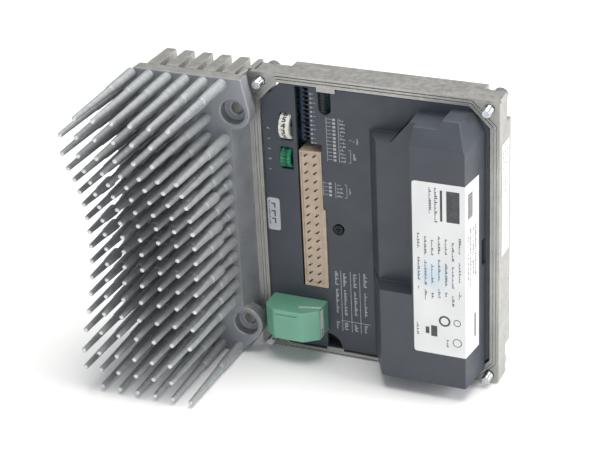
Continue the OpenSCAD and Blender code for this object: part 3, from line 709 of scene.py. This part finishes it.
@dataclass
class HeatSink:
    """The cast plate with its fins and its field of tapered pins. Lengths are in mm."""

    root_r: float = 3.1
    shoulder_r: float = 2.55
    waist_r: float = 2.15
    tip_r: float = 1.4
    collar_at: float = 0.4  # share of the pin's length
    sides: int = 18

    def profile(self, length: float) -> list[tuple[float, float]]:
        """Outline of a pin from its foot to the sawn end.

        Args:
            length: The pin's length in mm.

        Returns:
            Pairs of radius and distance from the plate.
        """
        collar = self.collar_at * length
        return [
            (0.0, -0.3), (self.root_r, -0.3), (self.root_r, 0.5), (self.root_r - 0.02, 1.4),
            (self.shoulder_r, collar - 0.9), (self.shoulder_r - 0.12, collar - 0.4),
            (self.shoulder_r - 0.5, collar - 0.05), (self.waist_r - 0.25, collar + 0.25),
            (self.waist_r, collar + 0.9), (self.waist_r - 0.04, collar + 2.2),
            (self.tip_r, length - 0.6), (self.tip_r - 0.06, length - 0.18),
            (self.tip_r - 0.25, length), (0.0, length),
        ]

    def pin_places(self) -> list[tuple[float, float, float, float]]:
        """Finds the pins in the CAD node.

        Returns:
            X and Z of each pin's axis, and the Y of its foot and of its tip, in mm.
        """
        bm = copy_of("cooling_pins")
        places, left = [], set(bm.verts)
        while left:
            first = left.pop()
            pin, todo = [first], [first]
            while todo:
                for edge in todo.pop().link_edges:
                    for vert in edge.verts:
                        if vert in left:
                            left.remove(vert)
                            pin.append(vert)
                            todo.append(vert)
            xs, ys, zs = ([v.co[k] / MM for v in pin] for k in range(3))
            places.append(((min(xs) + max(xs)) / 2, (min(zs) + max(zs)) / 2, max(ys), min(ys)))
        bm.free()
        return sorted(places)

    def make_pins(self) -> None:
        """Turns every pin and makes them one piece."""
        bm = bmesh.new()
        places = self.pin_places()
        for x, z, foot, tip in places:
            add_turned(bm, self.profile(foot - tip), point(x, foot, z), FRONT, self.sides)
        close_up(bm)
        tips = {round(tip, 2) for _, _, _, tip in places}
        # The flat ends take the lighter finish: painted highlight.
        for face in bm.faces:
            flat = face.normal.dot(FRONT) > 0.98
            face.material_index = int(flat and round(face.calc_center_median().y / MM, 2) in tips)
        fit("cooling_pins_cast", bm, [PIN_CAST, PIN_END_HIGHLIGHT], "cooling_pins", ["cooling_pins"], crease_deg=50)

    def make_plate(self) -> None:
        """Rounds the plate. Its upward faces take the lighter tray metal, as bright as the fins behind it, as
        painted light from above. Its other faces take the darker metal as painted shade.
        """
        bm = rounded_copy("heatsink_plate", 0.8, 3)
        for face in bm.faces:
            # Upward faces take the lighter metal (painted light from above) and the rest the darker one
            # (painted shade).
            face.material_index = int(face.normal.z > 0.95)
        fit("heatsink_plate_cast", bm, [SHADED_SINK_CAST, TRAY_CAST], "heatsink_plate", ["heatsink_plate"])

    def make(self) -> None:
        """Makes the plate, the fins and the pins."""
        self.make_plate()
        refine("cooling_fins", TRAY_CAST, 0.5, 3)
        self.make_pins()


@dataclass
class Tray:
    """The cast tray with its sealing rim. Lengths are in mm."""

    back: float = 21.0
    mark_r: float = 2.2
    mark_rise: float = 0.25
    mark_rows: tuple[float, ...] = (-52.0, -18.0, 20.0, 60.0)
    mark_columns: tuple[float, ...] = (-2.0, 28.0, 54.0)

    def make_ejector_marks(self) -> None:
        """Makes the low round marks that the mould's ejectors leave on the tray's back."""
        bm = bmesh.new()
        for x in self.mark_columns:
            for z in self.mark_rows:
                profile = [(0.0, -0.2), (self.mark_r, -0.2), (self.mark_r, self.mark_rise - 0.1),
                           (self.mark_r - 0.15, self.mark_rise), (self.mark_r - 0.5, self.mark_rise),
                           (self.mark_r - 0.6, self.mark_rise - 0.15), (0.0, self.mark_rise - 0.15)]
                add_turned(bm, profile, point(x, self.back, z), -FRONT, 24)
        close_up(bm)
        fit("tray_ejector_marks", bm, TRAY_CAST, "housing_tray")

    def make(self) -> None:
        """Makes the casting and the marks on it."""
        refine("housing_tray", TRAY_CAST, 0.45, 2)
        self.make_ejector_marks()


@dataclass
class CaptiveScrews:
    """The four captive cover screws with real threads, and their washers. Lengths are in mm."""

    thread_r: float = 2.5
    pitch: float = 0.8
    thread_depth: float = 0.45
    thread_from: float = -7.9
    thread_to: float = -0.5
    slices_per_turn: int = 4

    def make_screw(self, node: str) -> None:
        """Cuts a helical thread into the tip of a screw's copy."""
        low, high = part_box(node)
        axis = (low + high) / 2
        bm = copy_of(node)
        slices = round((self.thread_to - self.thread_from) / self.pitch * self.slices_per_turn)
        for k in range(1, slices):
            level = self.thread_from + k * self.pitch / self.slices_per_turn
            bmesh.ops.bisect_plane(
                bm, geom=bm.verts[:] + bm.edges[:] + bm.faces[:], plane_co=point(0, level, 0), plane_no=FRONT
            )
        for vert in bm.verts:
            across = Vector((vert.co.x - axis.x, 0.0, vert.co.z - axis.z))
            level = vert.co.y / MM
            inside = across.length < 0.9 * self.thread_r * MM
            if inside or not self.thread_from <= level < self.thread_to - 0.05:
                continue
            turn = math.atan2(across.z, across.x) / math.tau
            wave = abs(2 * ((level / self.pitch + turn) % 1) - 1)
            shrink = 1 - self.thread_depth * wave / self.thread_r
            vert.co.x = axis.x + across.x * shrink
            vert.co.z = axis.z + across.z * shrink
        fit(f"{node}_threaded", bm, ZINC_STEEL, node, [node], crease_deg=60)

    def make(self) -> None:
        """Makes all four screws and washers."""
        for corner in ("tl", "tr", "bl", "br"):
            self.make_screw(f"captive_screw_{corner}")
            refine(f"lock_washer_{corner}", SPRING_STEEL, 0.15)


@dataclass
class Table:
    """A printed table of bold squares and small print between two rules. Lengths are in mm."""

    left: float
    squares: float
    middle: float
    text: float
    text_w: float
    top: float
    bottom: float
    rows: int
    bracket: float
    bracket_rows: int
    square: float = 1.6
    line: float = 0.24

    def draw(self, sheet: Sheet) -> None:
        """Prints the rules, the rows, and a bracket with its label beside the lowest rows."""
        pitch = (self.top - self.bottom) / self.rows
        for x in (self.left, self.middle):
            sheet.bar(x, self.bottom, x + self.line, self.top)
        for k in range(self.rows):
            z = self.top - (k + 0.5) * pitch
            sheet.bar(self.squares, z - 0.3 * pitch, self.squares + self.square, z + 0.3 * pitch)
            sheet.bar(self.left, z, self.squares - 0.6, z + self.line)
            sheet.row(self.text, z - 0.5, self.text_w * sheet.dice.uniform(0.7, 1.0), 1.0)
        low, high = self.bottom + 0.5, self.bottom + self.bracket_rows * pitch - 0.5
        sheet.bar(self.bracket, low, self.bracket + self.line, high)
        for z in (low, high - self.line):
            sheet.bar(self.bracket - 1.1, z, self.bracket, z + self.line)
        sheet.word(self.bracket + 1.5, (low + high) / 2 + 1.8, 3.8, 1.6)


@dataclass
class InnerCover:
    """The moulded inner cover with its print and its screw. Lengths are in mm."""

    panel: float = 1.0
    switch_table: Table = field(default_factory=lambda: Table(
        -26.9, -23.3, -20.1, -19.2, 4.0, 61.5, 36.0, 12, -13.6, 4))
    small_table: Table = field(default_factory=lambda: Table(
        -30.0, -26.7, -22.9, -22.0, 4.4, 24.0, 15.0, 4, -16.5, 4))
    text_columns: tuple[float, ...] = (-25.2, -20.4, -14.5, -8.6)
    text_rules: tuple[float, ...] = (-21.9, -16.3, -11.0)
    text_top: float = -29.0
    text_bottom: float = -67.0
    cross_rule: float = -60.6
    print_h: float = 1.9
    line: float = 0.3
    switch_top: float = 73.6
    switch_pitch: float = 2.54

    def print_columns(self, sheet: Sheet) -> None:
        """Prints the turned columns of the lower half with their rules."""
        for x in self.text_columns:
            sheet.word(x, self.text_top - 2.0 * sheet.dice.random(), 9.0, self.print_h)
            sheet.word(x + 0.3, self.text_top - 12.0, 15.0 + 2.0 * sheet.dice.random(), 0.8 * self.print_h)
            sheet.word(x, self.cross_rule - 1.0, 5.0, self.print_h)
        for x in self.text_rules:
            sheet.bar(x, self.text_bottom, x + self.line, self.text_top)
        sheet.bar(-22.4, self.cross_rule, -5.0, self.cross_rule + self.line)

    def print_switch_marks(self, sheet: Sheet) -> None:
        """Prints the pointers and small signs beside the tables and the wheels."""
        for k in range(3):
            sheet.bar(-14.0 + 1.9 * k, 49.6 - 0.5 * k, -12.9 + 1.9 * k, 49.9 - 0.5 * k)
        sheet.word(-9.9, 51.2, 4.2, 1.4)
        for k in range(5):
            sheet.row(-61.0, 50.5 - 6.0 * k, 2.4, 0.9, step=0.9)
        for k in range(12):
            z = self.switch_top - self.switch_pitch * k
            sheet.bar(-35.6, z - 0.5, -34.6, z + 0.4)
            sheet.bar(-34.1, z - 0.1, -33.5 + 0.5 * (k % 3), z + 0.15)

    def make_print(self) -> None:
        """Prints the tables and small text of the panel as generic marks."""
        sheet = front_sheet(self.panel, seed=4)
        self.switch_table.draw(sheet)
        self.small_table.draw(sheet)
        self.print_columns(sheet)
        self.print_switch_marks(sheet)
        sheet.fit("panel_print", WHITE_INK, "inner_cover")

    def make(self) -> None:
        """Makes the cover, its print and its screw."""
        refine("inner_cover", COVER_PLASTIC, 0.4, 2)
        refine("cover_screw", BLACK_STEEL, 0.12)
        self.make_print()


@dataclass
class Labels:
    """The film labels and what is printed on them. Lengths are in mm."""

    corner_r: float = 1.5
    margin: float = 1.6
    fold_x: float = 57.5  # where the type label turns onto the box's side

    def make_film(self, node: str, finish: Finish) -> None:
        """Makes a label whose free corners are round."""
        bm = copy_of(node)
        low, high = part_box(node)
        corners = [
            e for e in bm.edges
            if abs((e.verts[0].co - e.verts[1].co).normalized().y) > 0.999
            and min(abs(e.verts[0].co.x - low.x), abs(e.verts[0].co.x - high.x)) < 10 * MERGE
        ]
        bmesh.ops.bevel(
            bm, geom=corners, offset=self.corner_r * MM, offset_type="OFFSET", segments=5, profile=0.5,
            affect="EDGES", material=-1,
        )
        fit(f"{node}_film", bm, finish, node, [node])

    def print_type_label(self) -> None:
        """Prints the big label: a solid mark, rows of small text and three blank approval signs."""
        low, high = (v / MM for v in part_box("type_label"))
        right, top, bottom = self.fold_x - self.margin, high.z - self.margin, low.z + self.margin
        left = low.x + self.margin
        sheet = front_sheet(low.y, seed=9)
        sheet.bar(right - 8.0, top - 19.5, right - 1.0, top - 2.0)
        sheet.bar(right - 11.4, top - 19.5, right - 10.2, top - 2.0)
        sheet.word(right - 14.4, top - 1.0, 20.0, 1.5, 1.1)
        sheet.word(right - 17.4, top - 1.0, 15.0, 1.2, 1.0)
        columns = 7
        for k in range(columns):
            x = left + 1.0 + k * (right - left - 2.5) / (columns - 1)
            start = top - 28.0 - 1.5 * (k % 3)
            sheet.word(x, start, 9.0 + 2.5 * (k % 2), 1.15, 0.9)
            sheet.word(x, start - 14.0, 12.0 + 3.0 * sheet.dice.random(), 1.15, 0.9)
            sheet.word(x, start - 31.0, 5.0 * sheet.dice.random() + 2.0, 1.15, 0.9)
        sheet.ring(right - 9.5, bottom + 19.0, 3.2, 1.0)
        sheet.bar(right - 17.0, bottom + 9.0, right - 13.6, bottom + 15.4)
        sheet.bar(right - 20.0, bottom + 10.2, right - 18.0, bottom + 14.2)
        sheet.ring(right - 2.6, bottom + 19.0, 2.0, 0.4)
        sheet.ring(right - 2.6, bottom + 7.0, 2.5, 0.4)
        sheet.word(left, bottom + 16.0, 8.0, 1.1)
        sheet.word(right - 8.4, bottom + 8.0, 5.0, 1.1)
        sheet.fit("type_label_print", BLACK_INK, "type_label")

    def print_wrap(self) -> None:
        """Prints the part of the label that is folded onto the box's side."""
        low, high = (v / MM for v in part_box("type_label"))
        along = Vector((3.0, 24.8, 0.0)).normalized()
        out = along.cross(Vector((0, 0, 1)))
        origin = point(57.7, -23.8, 0) + out * 0.2 * MM
        sheet = Sheet(origin, along, Vector((0, 0, 1)), seed=12)
        for k in range(26):
            z = high.z - 6.0 - 0.55 * k
            sheet.bar(3.0, z, 8.6, z + 0.18 + 0.16 * (k % 3))
        for k in range(4):
            sheet.word(2.6 + 3.0 * k, high.z - 26.0, 30.0 + 6.0 * sheet.dice.random(), 1.3, 1.0)
        sheet.bar(10.6, low.z + 8.0, 12.0, low.z + 22.0)
        sheet.fit("type_label_side_print", BLACK_INK, "type_label")

    def print_test_label(self) -> None:
        """Prints the small test label."""
        low, high = (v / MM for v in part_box("test_label"))
        sheet = front_sheet(low.y, seed=21)
        for k, length in enumerate((2.8, 3.6, 3.2)):
            z = high.z - 3.0 - 4.6 * k
            sheet.bar(high.x - 3.4, z - length, high.x - 2.6, z)
            sheet.bar(high.x - 5.0, z - 0.8, high.x - 3.4, z)
        sheet.word(low.x + 0.8, high.z - 2.0, 14.5, 0.8)
        sheet.fit("test_label_print", BLACK_INK, "test_label")

    def print_side_label(self) -> None:
        """Prints blank rows on the label of the tray's right wall."""
        low, high = (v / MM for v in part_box("side_label"))
        sheet = Sheet(point(high.x, 0, 0), Vector((0, 1, 0)), Vector((0, 0, 1)), seed=33)
        for k in range(3):
            sheet.word(low.y + 1.6 + 3.2 * k, high.z - 4.0, 22.0 + 5.0 * (k % 2), 1.2, 1.05)
        sheet.fit("side_label_print", BLACK_INK, "side_label")

    def make(self) -> None:
        """Dresses the three labels and prints on them."""
        self.make_film("type_label", LABEL_FILM)
        self.make_film("test_label", GREY_FILM)
        refine("side_label", LABEL_FILM, 0.05, 1)
        self.print_type_label()
        self.print_wrap()
        self.print_test_label()
        self.print_side_label()


@dataclass
class SettingWheels:
    """The numbered setpoint wheel and the green ramp wheel. Lengths are in mm."""

    digit_size: float = 3.9
    digit_stretch: float = 1.35
    first_digit: float = 3.4  # the number that faces straight forwards
    slots: int = 14
    ink: float = 0.06
    digit_weight: float = 0.13
    curve_steps: int = 3  # more of them leave the digits' outlines open

    def add_digit(self, bm: BMesh, digit: int, centre: Vector, radius: float, angle: float) -> None:
        """Wraps a digit round the rim of a wheel that turns about X.

        Args:
            bm: The mesh that takes it.
            digit: The number to write.
            centre: The wheel's middle in metres.
            radius: The rim's radius in mm.
            angle: How far above the front the digit stands, in radians.
        """
        curve = bpy.data.curves.new("digit", "FONT")
        curve.body = str(digit)
        curve.size = self.digit_size
        curve.extrude = self.ink / 2
        curve.offset = self.digit_weight
        curve.resolution_u = self.curve_steps
        curve.align_x = "CENTER"
        curve.align_y = "CENTER"
        holder = bpy.data.objects.new("digit", curve)
        bpy.context.scene.collection.objects.link(holder)
        bpy.context.view_layer.update()
        flat = bpy.data.meshes.new_from_object(holder.evaluated_get(bpy.context.evaluated_depsgraph_get()))
        start = len(bm.verts)
        bm.from_mesh(flat)
        bm.verts.ensure_lookup_table()
        for vert in bm.verts[start:]:
            across, up, out = vert.co
            turn = angle + up / radius
            reach = radius + out
            wide = across * self.digit_stretch
            vert.co = centre + point(wide, -reach * math.cos(turn), reach * math.sin(turn))
        bpy.data.objects.remove(holder)
        bpy.data.curves.remove(curve)
        bpy.data.meshes.remove(flat)

    def number(self, node: str, finish: Finish) -> None:
        """Writes 0 to 9 round the wheel of that CAD node."""
        low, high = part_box(node)
        centre = (low + high) / 2
        radius = (high.z - low.z) / 2 / MM
        bm = bmesh.new()
        for digit in range(10):
            angle = (digit - self.first_digit) * math.tau / self.slots
            self.add_digit(bm, digit, centre, radius, angle)
        bmesh.ops.remove_doubles(bm, verts=bm.verts, dist=MERGE)
        fit(f"{node}_digits", bm, finish, node)

    def make(self) -> None:
        """Makes both wheels, their digits and their bracket."""
        refine("setpoint_wheel", ACETAL_WHITE, 0.12, 1)
        refine("ramp_wheel", ACETAL_GREEN, 0.12, 1)
        refine("wheel_bracket", BLACK_PLASTIC, 0.12, 1)
        self.number("setpoint_wheel", BLACK_INK)
        self.number("ramp_wheel", GREEN_INK)


@dataclass
class PlugInModule:
    """The green plug-in module: a chamfered shell over a small board. Lengths are in mm."""

    left_chamfer: tuple[float, float] = (6.5, 5.6)
    right_chamfer: tuple[float, float] = (8.0, 6.0)
    back_rim: float = 5.0
    wall: float = 1.6
    edge_r: float = 0.6
    groove: tuple[float, float] = (3.1, 2.6)
    groove_depth: float = 0.35

    def slice_off(self, bm: BMesh, corner: Vector, normal: Vector) -> None:
        """Cuts away what lies beyond a plane and closes the cut."""
        cut = bmesh.ops.bisect_plane(
            bm, geom=bm.verts[:] + bm.edges[:] + bm.faces[:], plane_co=corner, plane_no=normal,
            clear_outer=True,
        )["geom_cut"]
        bmesh.ops.edgenet_fill(bm, edges=[g for g in cut if isinstance(g, bmesh.types.BMEdge)])

    def make_shell(self) -> None:
        """Makes the shell, hollow and open at the back, with a fine groove near its top."""
        low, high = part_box("module_shell")
        bm = bmesh.new()
        add_box(bm, low, high)
        for side, (across, deep) in ((-1, self.left_chamfer), (1, self.right_chamfer)):
            edge = high.x if side > 0 else low.x
            corner = Vector((edge, low.y + deep * MM, 0.0))
            self.slice_off(bm, corner, Vector((side * deep, -across, 0.0)).normalized())
        back = max((f for f in bm.faces if f.normal.dot(FRONT) < -0.99), key=lambda f: f.calc_area())
        bmesh.ops.inset_individual(bm, faces=[back], thickness=self.back_rim * MM)
        bmesh.ops.delete(bm, geom=[back], context="FACES_ONLY")
        bmesh.ops.solidify(bm, geom=bm.faces[:], thickness=self.wall * MM)
        bm.normal_update()
        outer = [
            e for e in bm.edges
            if e.is_convex and e.calc_face_angle(0.0) > math.radians(20)
            and min(v.co.y for v in e.verts) < high.y - 0.1 * MM
        ]
        bmesh.ops.bevel(
            bm, geom=outer, offset=self.edge_r * MM, offset_type="OFFSET", segments=3, profile=0.5,
            affect="EDGES", material=-1,
        )
        self.cut_groove(bm, low, high)
        fit("module_shell_moulded", bm, MODULE_ABS, "module_shell", ["module_shell"])

    def cut_groove(self, bm: BMesh, low: Vector, high: Vector) -> None:
        """Sinks a fine line into the front face."""
        left = low.x + (self.left_chamfer[0] + 0.9) * MM
        right = high.x - (self.right_chamfer[0] + 3.0) * MM
        upper, lower = (high.z - depth * MM for depth in reversed(self.groove))
        middle = Vector(((left + right) / 2, low.y, (upper + lower) / 2))
        for place, normal in (
            (Vector((left, 0, 0)), Vector((1, 0, 0))), (Vector((right, 0, 0)), Vector((1, 0, 0))),
            (Vector((0, 0, upper)), Vector((0, 0, 1))), (Vector((0, 0, lower)), Vector((0, 0, 1))),
        ):
            front = self.front_at(bm, middle)
            bmesh.ops.bisect_plane(
                bm, geom=[front, *front.edges, *front.verts], plane_co=place, plane_no=normal
            )
        bmesh.ops.inset_individual(
            bm, faces=[self.front_at(bm, middle)], thickness=0.0, depth=-self.groove_depth * MM
        )

    def front_at(self, bm: BMesh, place: Vector) -> bmesh.types.BMFace:
        """The outer front face that holds a point."""
        return next(
            f for f in bm.faces
            if f.normal.dot(FRONT) > 0.99 and abs(f.calc_center_median().y - place.y) < 0.1 * MM
            and all(
                min(v.co[k] for v in f.verts) <= place[k] <= max(v.co[k] for v in f.verts) for k in (0, 2)
            )
        )

    def make_print(self) -> None:
        """Prints the pale strip on the right side and the marks on the top beside it."""
        low, high = (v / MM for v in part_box("module_shell"))
        top = Sheet(point(0, 0, high.z), Vector((1, 0, 0)), Vector((0, 1, 0)), seed=41)
        for k in range(12):
            x, y = high.x - 12.5 + k, low.y + 5.6 + 0.25 * k
            top.bar(x, y, x + 0.6, y + 1.4 + 0.8 * (k % 2))
        top.fit("module_top_print", PALE_INK, "module_shell")
        start = low.y + self.right_chamfer[1] + 0.7
        strip = Sheet(point(high.x, 0, 0), Vector((0, 1, 0)), Vector((0, 0, 1)), seed=43)
        strip.bar(start, low.z + 1.0, start + 4.0, high.z - 1.0)
        strip.fit("module_side_strip", PALE_INK, "module_shell")
        marks = Sheet(point(high.x + strip.ink, 0, 0), Vector((0, 1, 0)), Vector((0, 0, 1)), seed=44)
        for k in range(3):
            marks.bar(start + 0.6, low.z + 1.8 + 1.5 * k, start + 3.4 - 0.6 * (k % 2), low.z + 2.5 + 1.5 * k)
        marks.fit("module_side_marks", BLACK_INK, "module_shell")

    def make(self) -> None:
        """Makes the shell and what is inside it."""
        self.make_shell()
        refine("module_board", CONTROL_BOARD, 0.1, 1)
        refine("module_pins", TINNED, 0.1, 1)
        refine("module_socket", BLACK_PLASTIC, 0.15, 1)
        self.make_print()


@dataclass
class ControlBoard:
    """The control board with its parts, the connector and the switch banks. Lengths are in mm."""

    chips: tuple[tuple[float, float, float, float], ...] = (
        (-52.0, 8.0, 10.0, 10.0), (-50.0, -14.0, 7.0, 5.0), (-14.0, 30.0, 12.0, 12.0),
        (-14.0, -40.0, 9.0, 6.0), (-27.5, 74.0, 4.0, 5.0),
    )  # X and Z of the middle, width and height
    passives: int = 46
    chip_h: float = 1.6
    leg_pitch: float = 1.27

    def board_front(self) -> float:
        """Y of the board's front face in mm."""
        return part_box("control_board")[0].y / MM

    def make_chips(self) -> None:
        """Makes the chips with a row of legs on two sides."""
        front = self.board_front()
        bodies, legs = bmesh.new(), bmesh.new()
        for x, z, width, height in self.chips:
            add_box(bodies, point(x - width / 2, front - self.chip_h, z - height / 2),
                    point(x + width / 2, front - 0.15, z + height / 2))
            for k in range(int(height / self.leg_pitch)):
                level = z - height / 2 + 0.64 + self.leg_pitch * k
                for side in (-1, 1):
                    edge = x + side * width / 2
                    add_box(legs, point(min(edge, edge + side * 1.1), front - 0.9, level - 0.2),
                            point(max(edge, edge + side * 1.1), front, level + 0.2))
        soften(bodies, 0.2, 2)
        close_up(bodies)
        fit("board_chips", bodies, EPOXY, "control_board")
        close_up(legs)
        fit("board_chip_legs", legs, TINNED, "control_board")

    def make_passives(self) -> None:
        """Scatters small resistors and capacitors on the free parts of the board."""
        front = self.board_front()
        dice = random.Random(7)
        bm = bmesh.new()
        for _ in range(self.passives):
            x = dice.choice((dice.uniform(-56, -44), dice.uniform(-25, -8)))
            z = dice.uniform(-60, 64)
            if any(abs(x - c[0]) < c[2] / 2 + 2.4 and abs(z - c[1]) < c[3] / 2 + 1.6 for c in self.chips):
                continue
            length, width = dice.choice(((1.0, 0.6), (0.6, 1.0)))
            add_box(bm, point(x - length, front - 0.7, z - width), point(x + length, front, z + width))
        soften(bm, 0.12, 1)
        close_up(bm)
        fit("board_passives", bm, CREAM_PLASTIC, "control_board")

    def make(self) -> None:
        """Makes the board, the connector and the switches."""
        refine("control_board", CONTROL_BOARD, 0.15, 1)
        self.make_chips()
        self.make_passives()
        refine("signal_connector", CREAM_PLASTIC, 0.22, 1)
        refine("connector_contacts", TINNED, 0.1, 1)
        # The switch bodies and sliders take dark finishes: painted shade in the switch window.
        refine("dip_switch_bodies", SWITCH_BLUE, 0.15, 1)
        for k in range(1, 13):
            refine(f"dip_slider_{k}", PLUG_PLASTIC, 0.15, 1)
        refine("board_screws", ZINC_STEEL, 0.2, 1)
        refine("board_link", BLACK_PLASTIC, 0.3, 1)


@dataclass
class RoundedParts:
    """Parts that only have their edges rounded: the node, its finish and the rounding's width in mm."""

    edges: tuple[tuple[str, Finish, float], ...] = ()

    def make(self) -> None:
        """Makes every part."""
        for node, finish, width in self.edges:
            refine(node, finish, width)


@dataclass
class PowerStage(RoundedParts):
    """The power board and the parts on it."""

    edges: tuple[tuple[str, Finish, float], ...] = (
        ("power_board", POWER_BOARD, 0.15), ("dc_link_capacitors", SLEEVE, 0.5), ("choke_core", FERRITE, 0.5),
        ("choke_winding", COPPER_WIRE, 0.4), ("transformer_core", FERRITE, 0.5),
        ("transformer_winding", AMBER_TAPE, 0.6), ("brake_relay", RELAY_BLUE, 0.6),
        ("power_module", EPOXY, 0.3), ("thermal_pad", SILICONE_PAD, 0.1),
    )


@dataclass
class BackOpenings(RoundedParts):
    """What is reached from the tray's back: the screw plugs, their seals and what lies under them."""

    edges: tuple[tuple[str, Finish, float], ...] = (
        ("potentiometer_plug", PLUG_PLASTIC, 0.35), ("diagnostic_plug", PLUG_PLASTIC, 0.35),
        ("potentiometer_seal", RUBBER, 0.25), ("diagnostic_seal", RUBBER, 0.25),
        ("potentiometer_body", SWITCH_BLUE, 0.25), ("potentiometer_rotor", ACETAL_WHITE, 0.15),
        ("diagnostic_socket", BLACK_PLASTIC, 0.25), ("status_led", CLEAR_PLASTIC, 0.15),
        ("light_guide", CLEAR_PLASTIC, 0.2),
    )


# ---- studio ----


@dataclass
class Studio:
    """Floor, lights and camera. Places are in mm and angles in degrees."""

    aim: tuple[float, float, float] = (-15.5, -63.8, 31.6)
    distance: float = 930.0
    azimuth: float = 24.2
    elevation: float = 27.17
    roll: float = -2.84
    lens: float = 111.7
    floor_size: float = 12000.0

    def make_floor(self) -> None:
        """Makes the pale floor under the unit's lower edge."""
        bm = bmesh.new()
        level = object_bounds()[0].z
        bmesh.ops.create_grid(
            bm, x_segments=1, y_segments=1, size=self.floor_size / 2 * MM,
            matrix=Matrix.Translation((0, 0, level)),
        )
        mesh = bpy.data.meshes.new("floor")
        bm.to_mesh(mesh)
        bm.free()
        floor = bpy.data.objects.new("floor", mesh)
        bpy.context.scene.collection.objects.link(floor)
        paper = bpy.data.materials.new("paper_white")
        paper.use_nodes = True
        shader = paper.node_tree.nodes["Principled BSDF"]
        shader.inputs["Base Color"].default_value = linear("#fcfcfc")
        shader.inputs["Roughness"].default_value = 0.9
        shader.inputs["Specular IOR Level"].default_value = 0.1
        mesh.materials.append(paper)
        floor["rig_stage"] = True

    def add_light(self, name: str, place: Vector, size: float, power: float, colour: str) -> None:
        """Adds a soft square light that looks at the unit.

        Args:
            name: Its name.
            place: Where it stands, in metres.
            size: Its side in metres.
            power: Its power in watts.
            colour: Its colour as an sRGB hex value.
        """
        lamp = bpy.data.lights.new(name, "AREA")
        lamp.shape = "SQUARE"
        lamp.size = size
        lamp.energy = power
        lamp.color = linear(colour)[:3]
        holder = bpy.data.objects.new(name, lamp)
        holder.location = place
        holder.rotation_euler = (-place).to_track_quat("-Z", "Y").to_euler()
        bpy.context.scene.collection.objects.link(holder)

    def make_lights(self) -> None:
        """Makes a broad light overhead, one from the right and a weak fill in front."""
        world = bpy.data.worlds.new("studio")
        world.use_nodes = True
        background = world.node_tree.nodes["Background"]
        background.inputs["Color"].default_value = linear("#eceef2")
        background.inputs["Strength"].default_value = 0.5
        bpy.context.scene.world = world
        self.add_light("overhead", Vector((0.15, 0.15, 1.5)), 1.3, 28.0, "#fffdf8")
        self.add_light("right_side", Vector((1.6, 0.1, 0.6)), 0.9, 19.0, "#ffffff")
        self.add_light("front_fill", Vector((0.1, -1.5, 0.1)), 0.9, 5.0, "#f4f6ff")

    def make_camera(self) -> None:
        """Makes the camera at its view of the unit."""
        turn, rise, roll = (math.radians(a) for a in (self.azimuth, self.elevation, self.roll))
        back = Vector((math.sin(turn) * math.cos(rise), -math.cos(turn) * math.cos(rise), math.sin(rise)))
        level = Vector((0, 0, 1)).cross(back).normalized()
        upright = back.cross(level)
        right = level * math.cos(roll) + upright * math.sin(roll)
        up = back.cross(right)
        camera = bpy.data.cameras.new("camera")
        camera.lens = self.lens
        camera.clip_end = 100
        holder = bpy.data.objects.new("camera", camera)
        place = point(*self.aim) + back * self.distance * MM
        turned = Matrix((right, up, back)).transposed().to_4x4()
        holder.matrix_world = Matrix.Translation(place) @ turned
        bpy.context.scene.collection.objects.link(holder)
        bpy.context.scene.camera = holder

    def make(self) -> None:
        """Sets up the whole studio."""
        self.make_floor()
        self.make_lights()
        self.make_camera()
        bpy.context.scene.view_settings.view_transform = "Standard"


def main() -> None:
    """Makes the studio and every sub-assembly."""
    logging.basicConfig(level=logging.INFO, format="%(name)s: %(message)s")
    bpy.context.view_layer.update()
    Studio().make()
    for assembly in (
        Tray(), HeatSink(), CaptiveScrews(), InnerCover(), Labels(), SettingWheels(), PlugInModule(),
        ControlBoard(), PowerStage(), BackOpenings(),
    ):
        assembly.make()


if __name__ == "__main__":
    main()
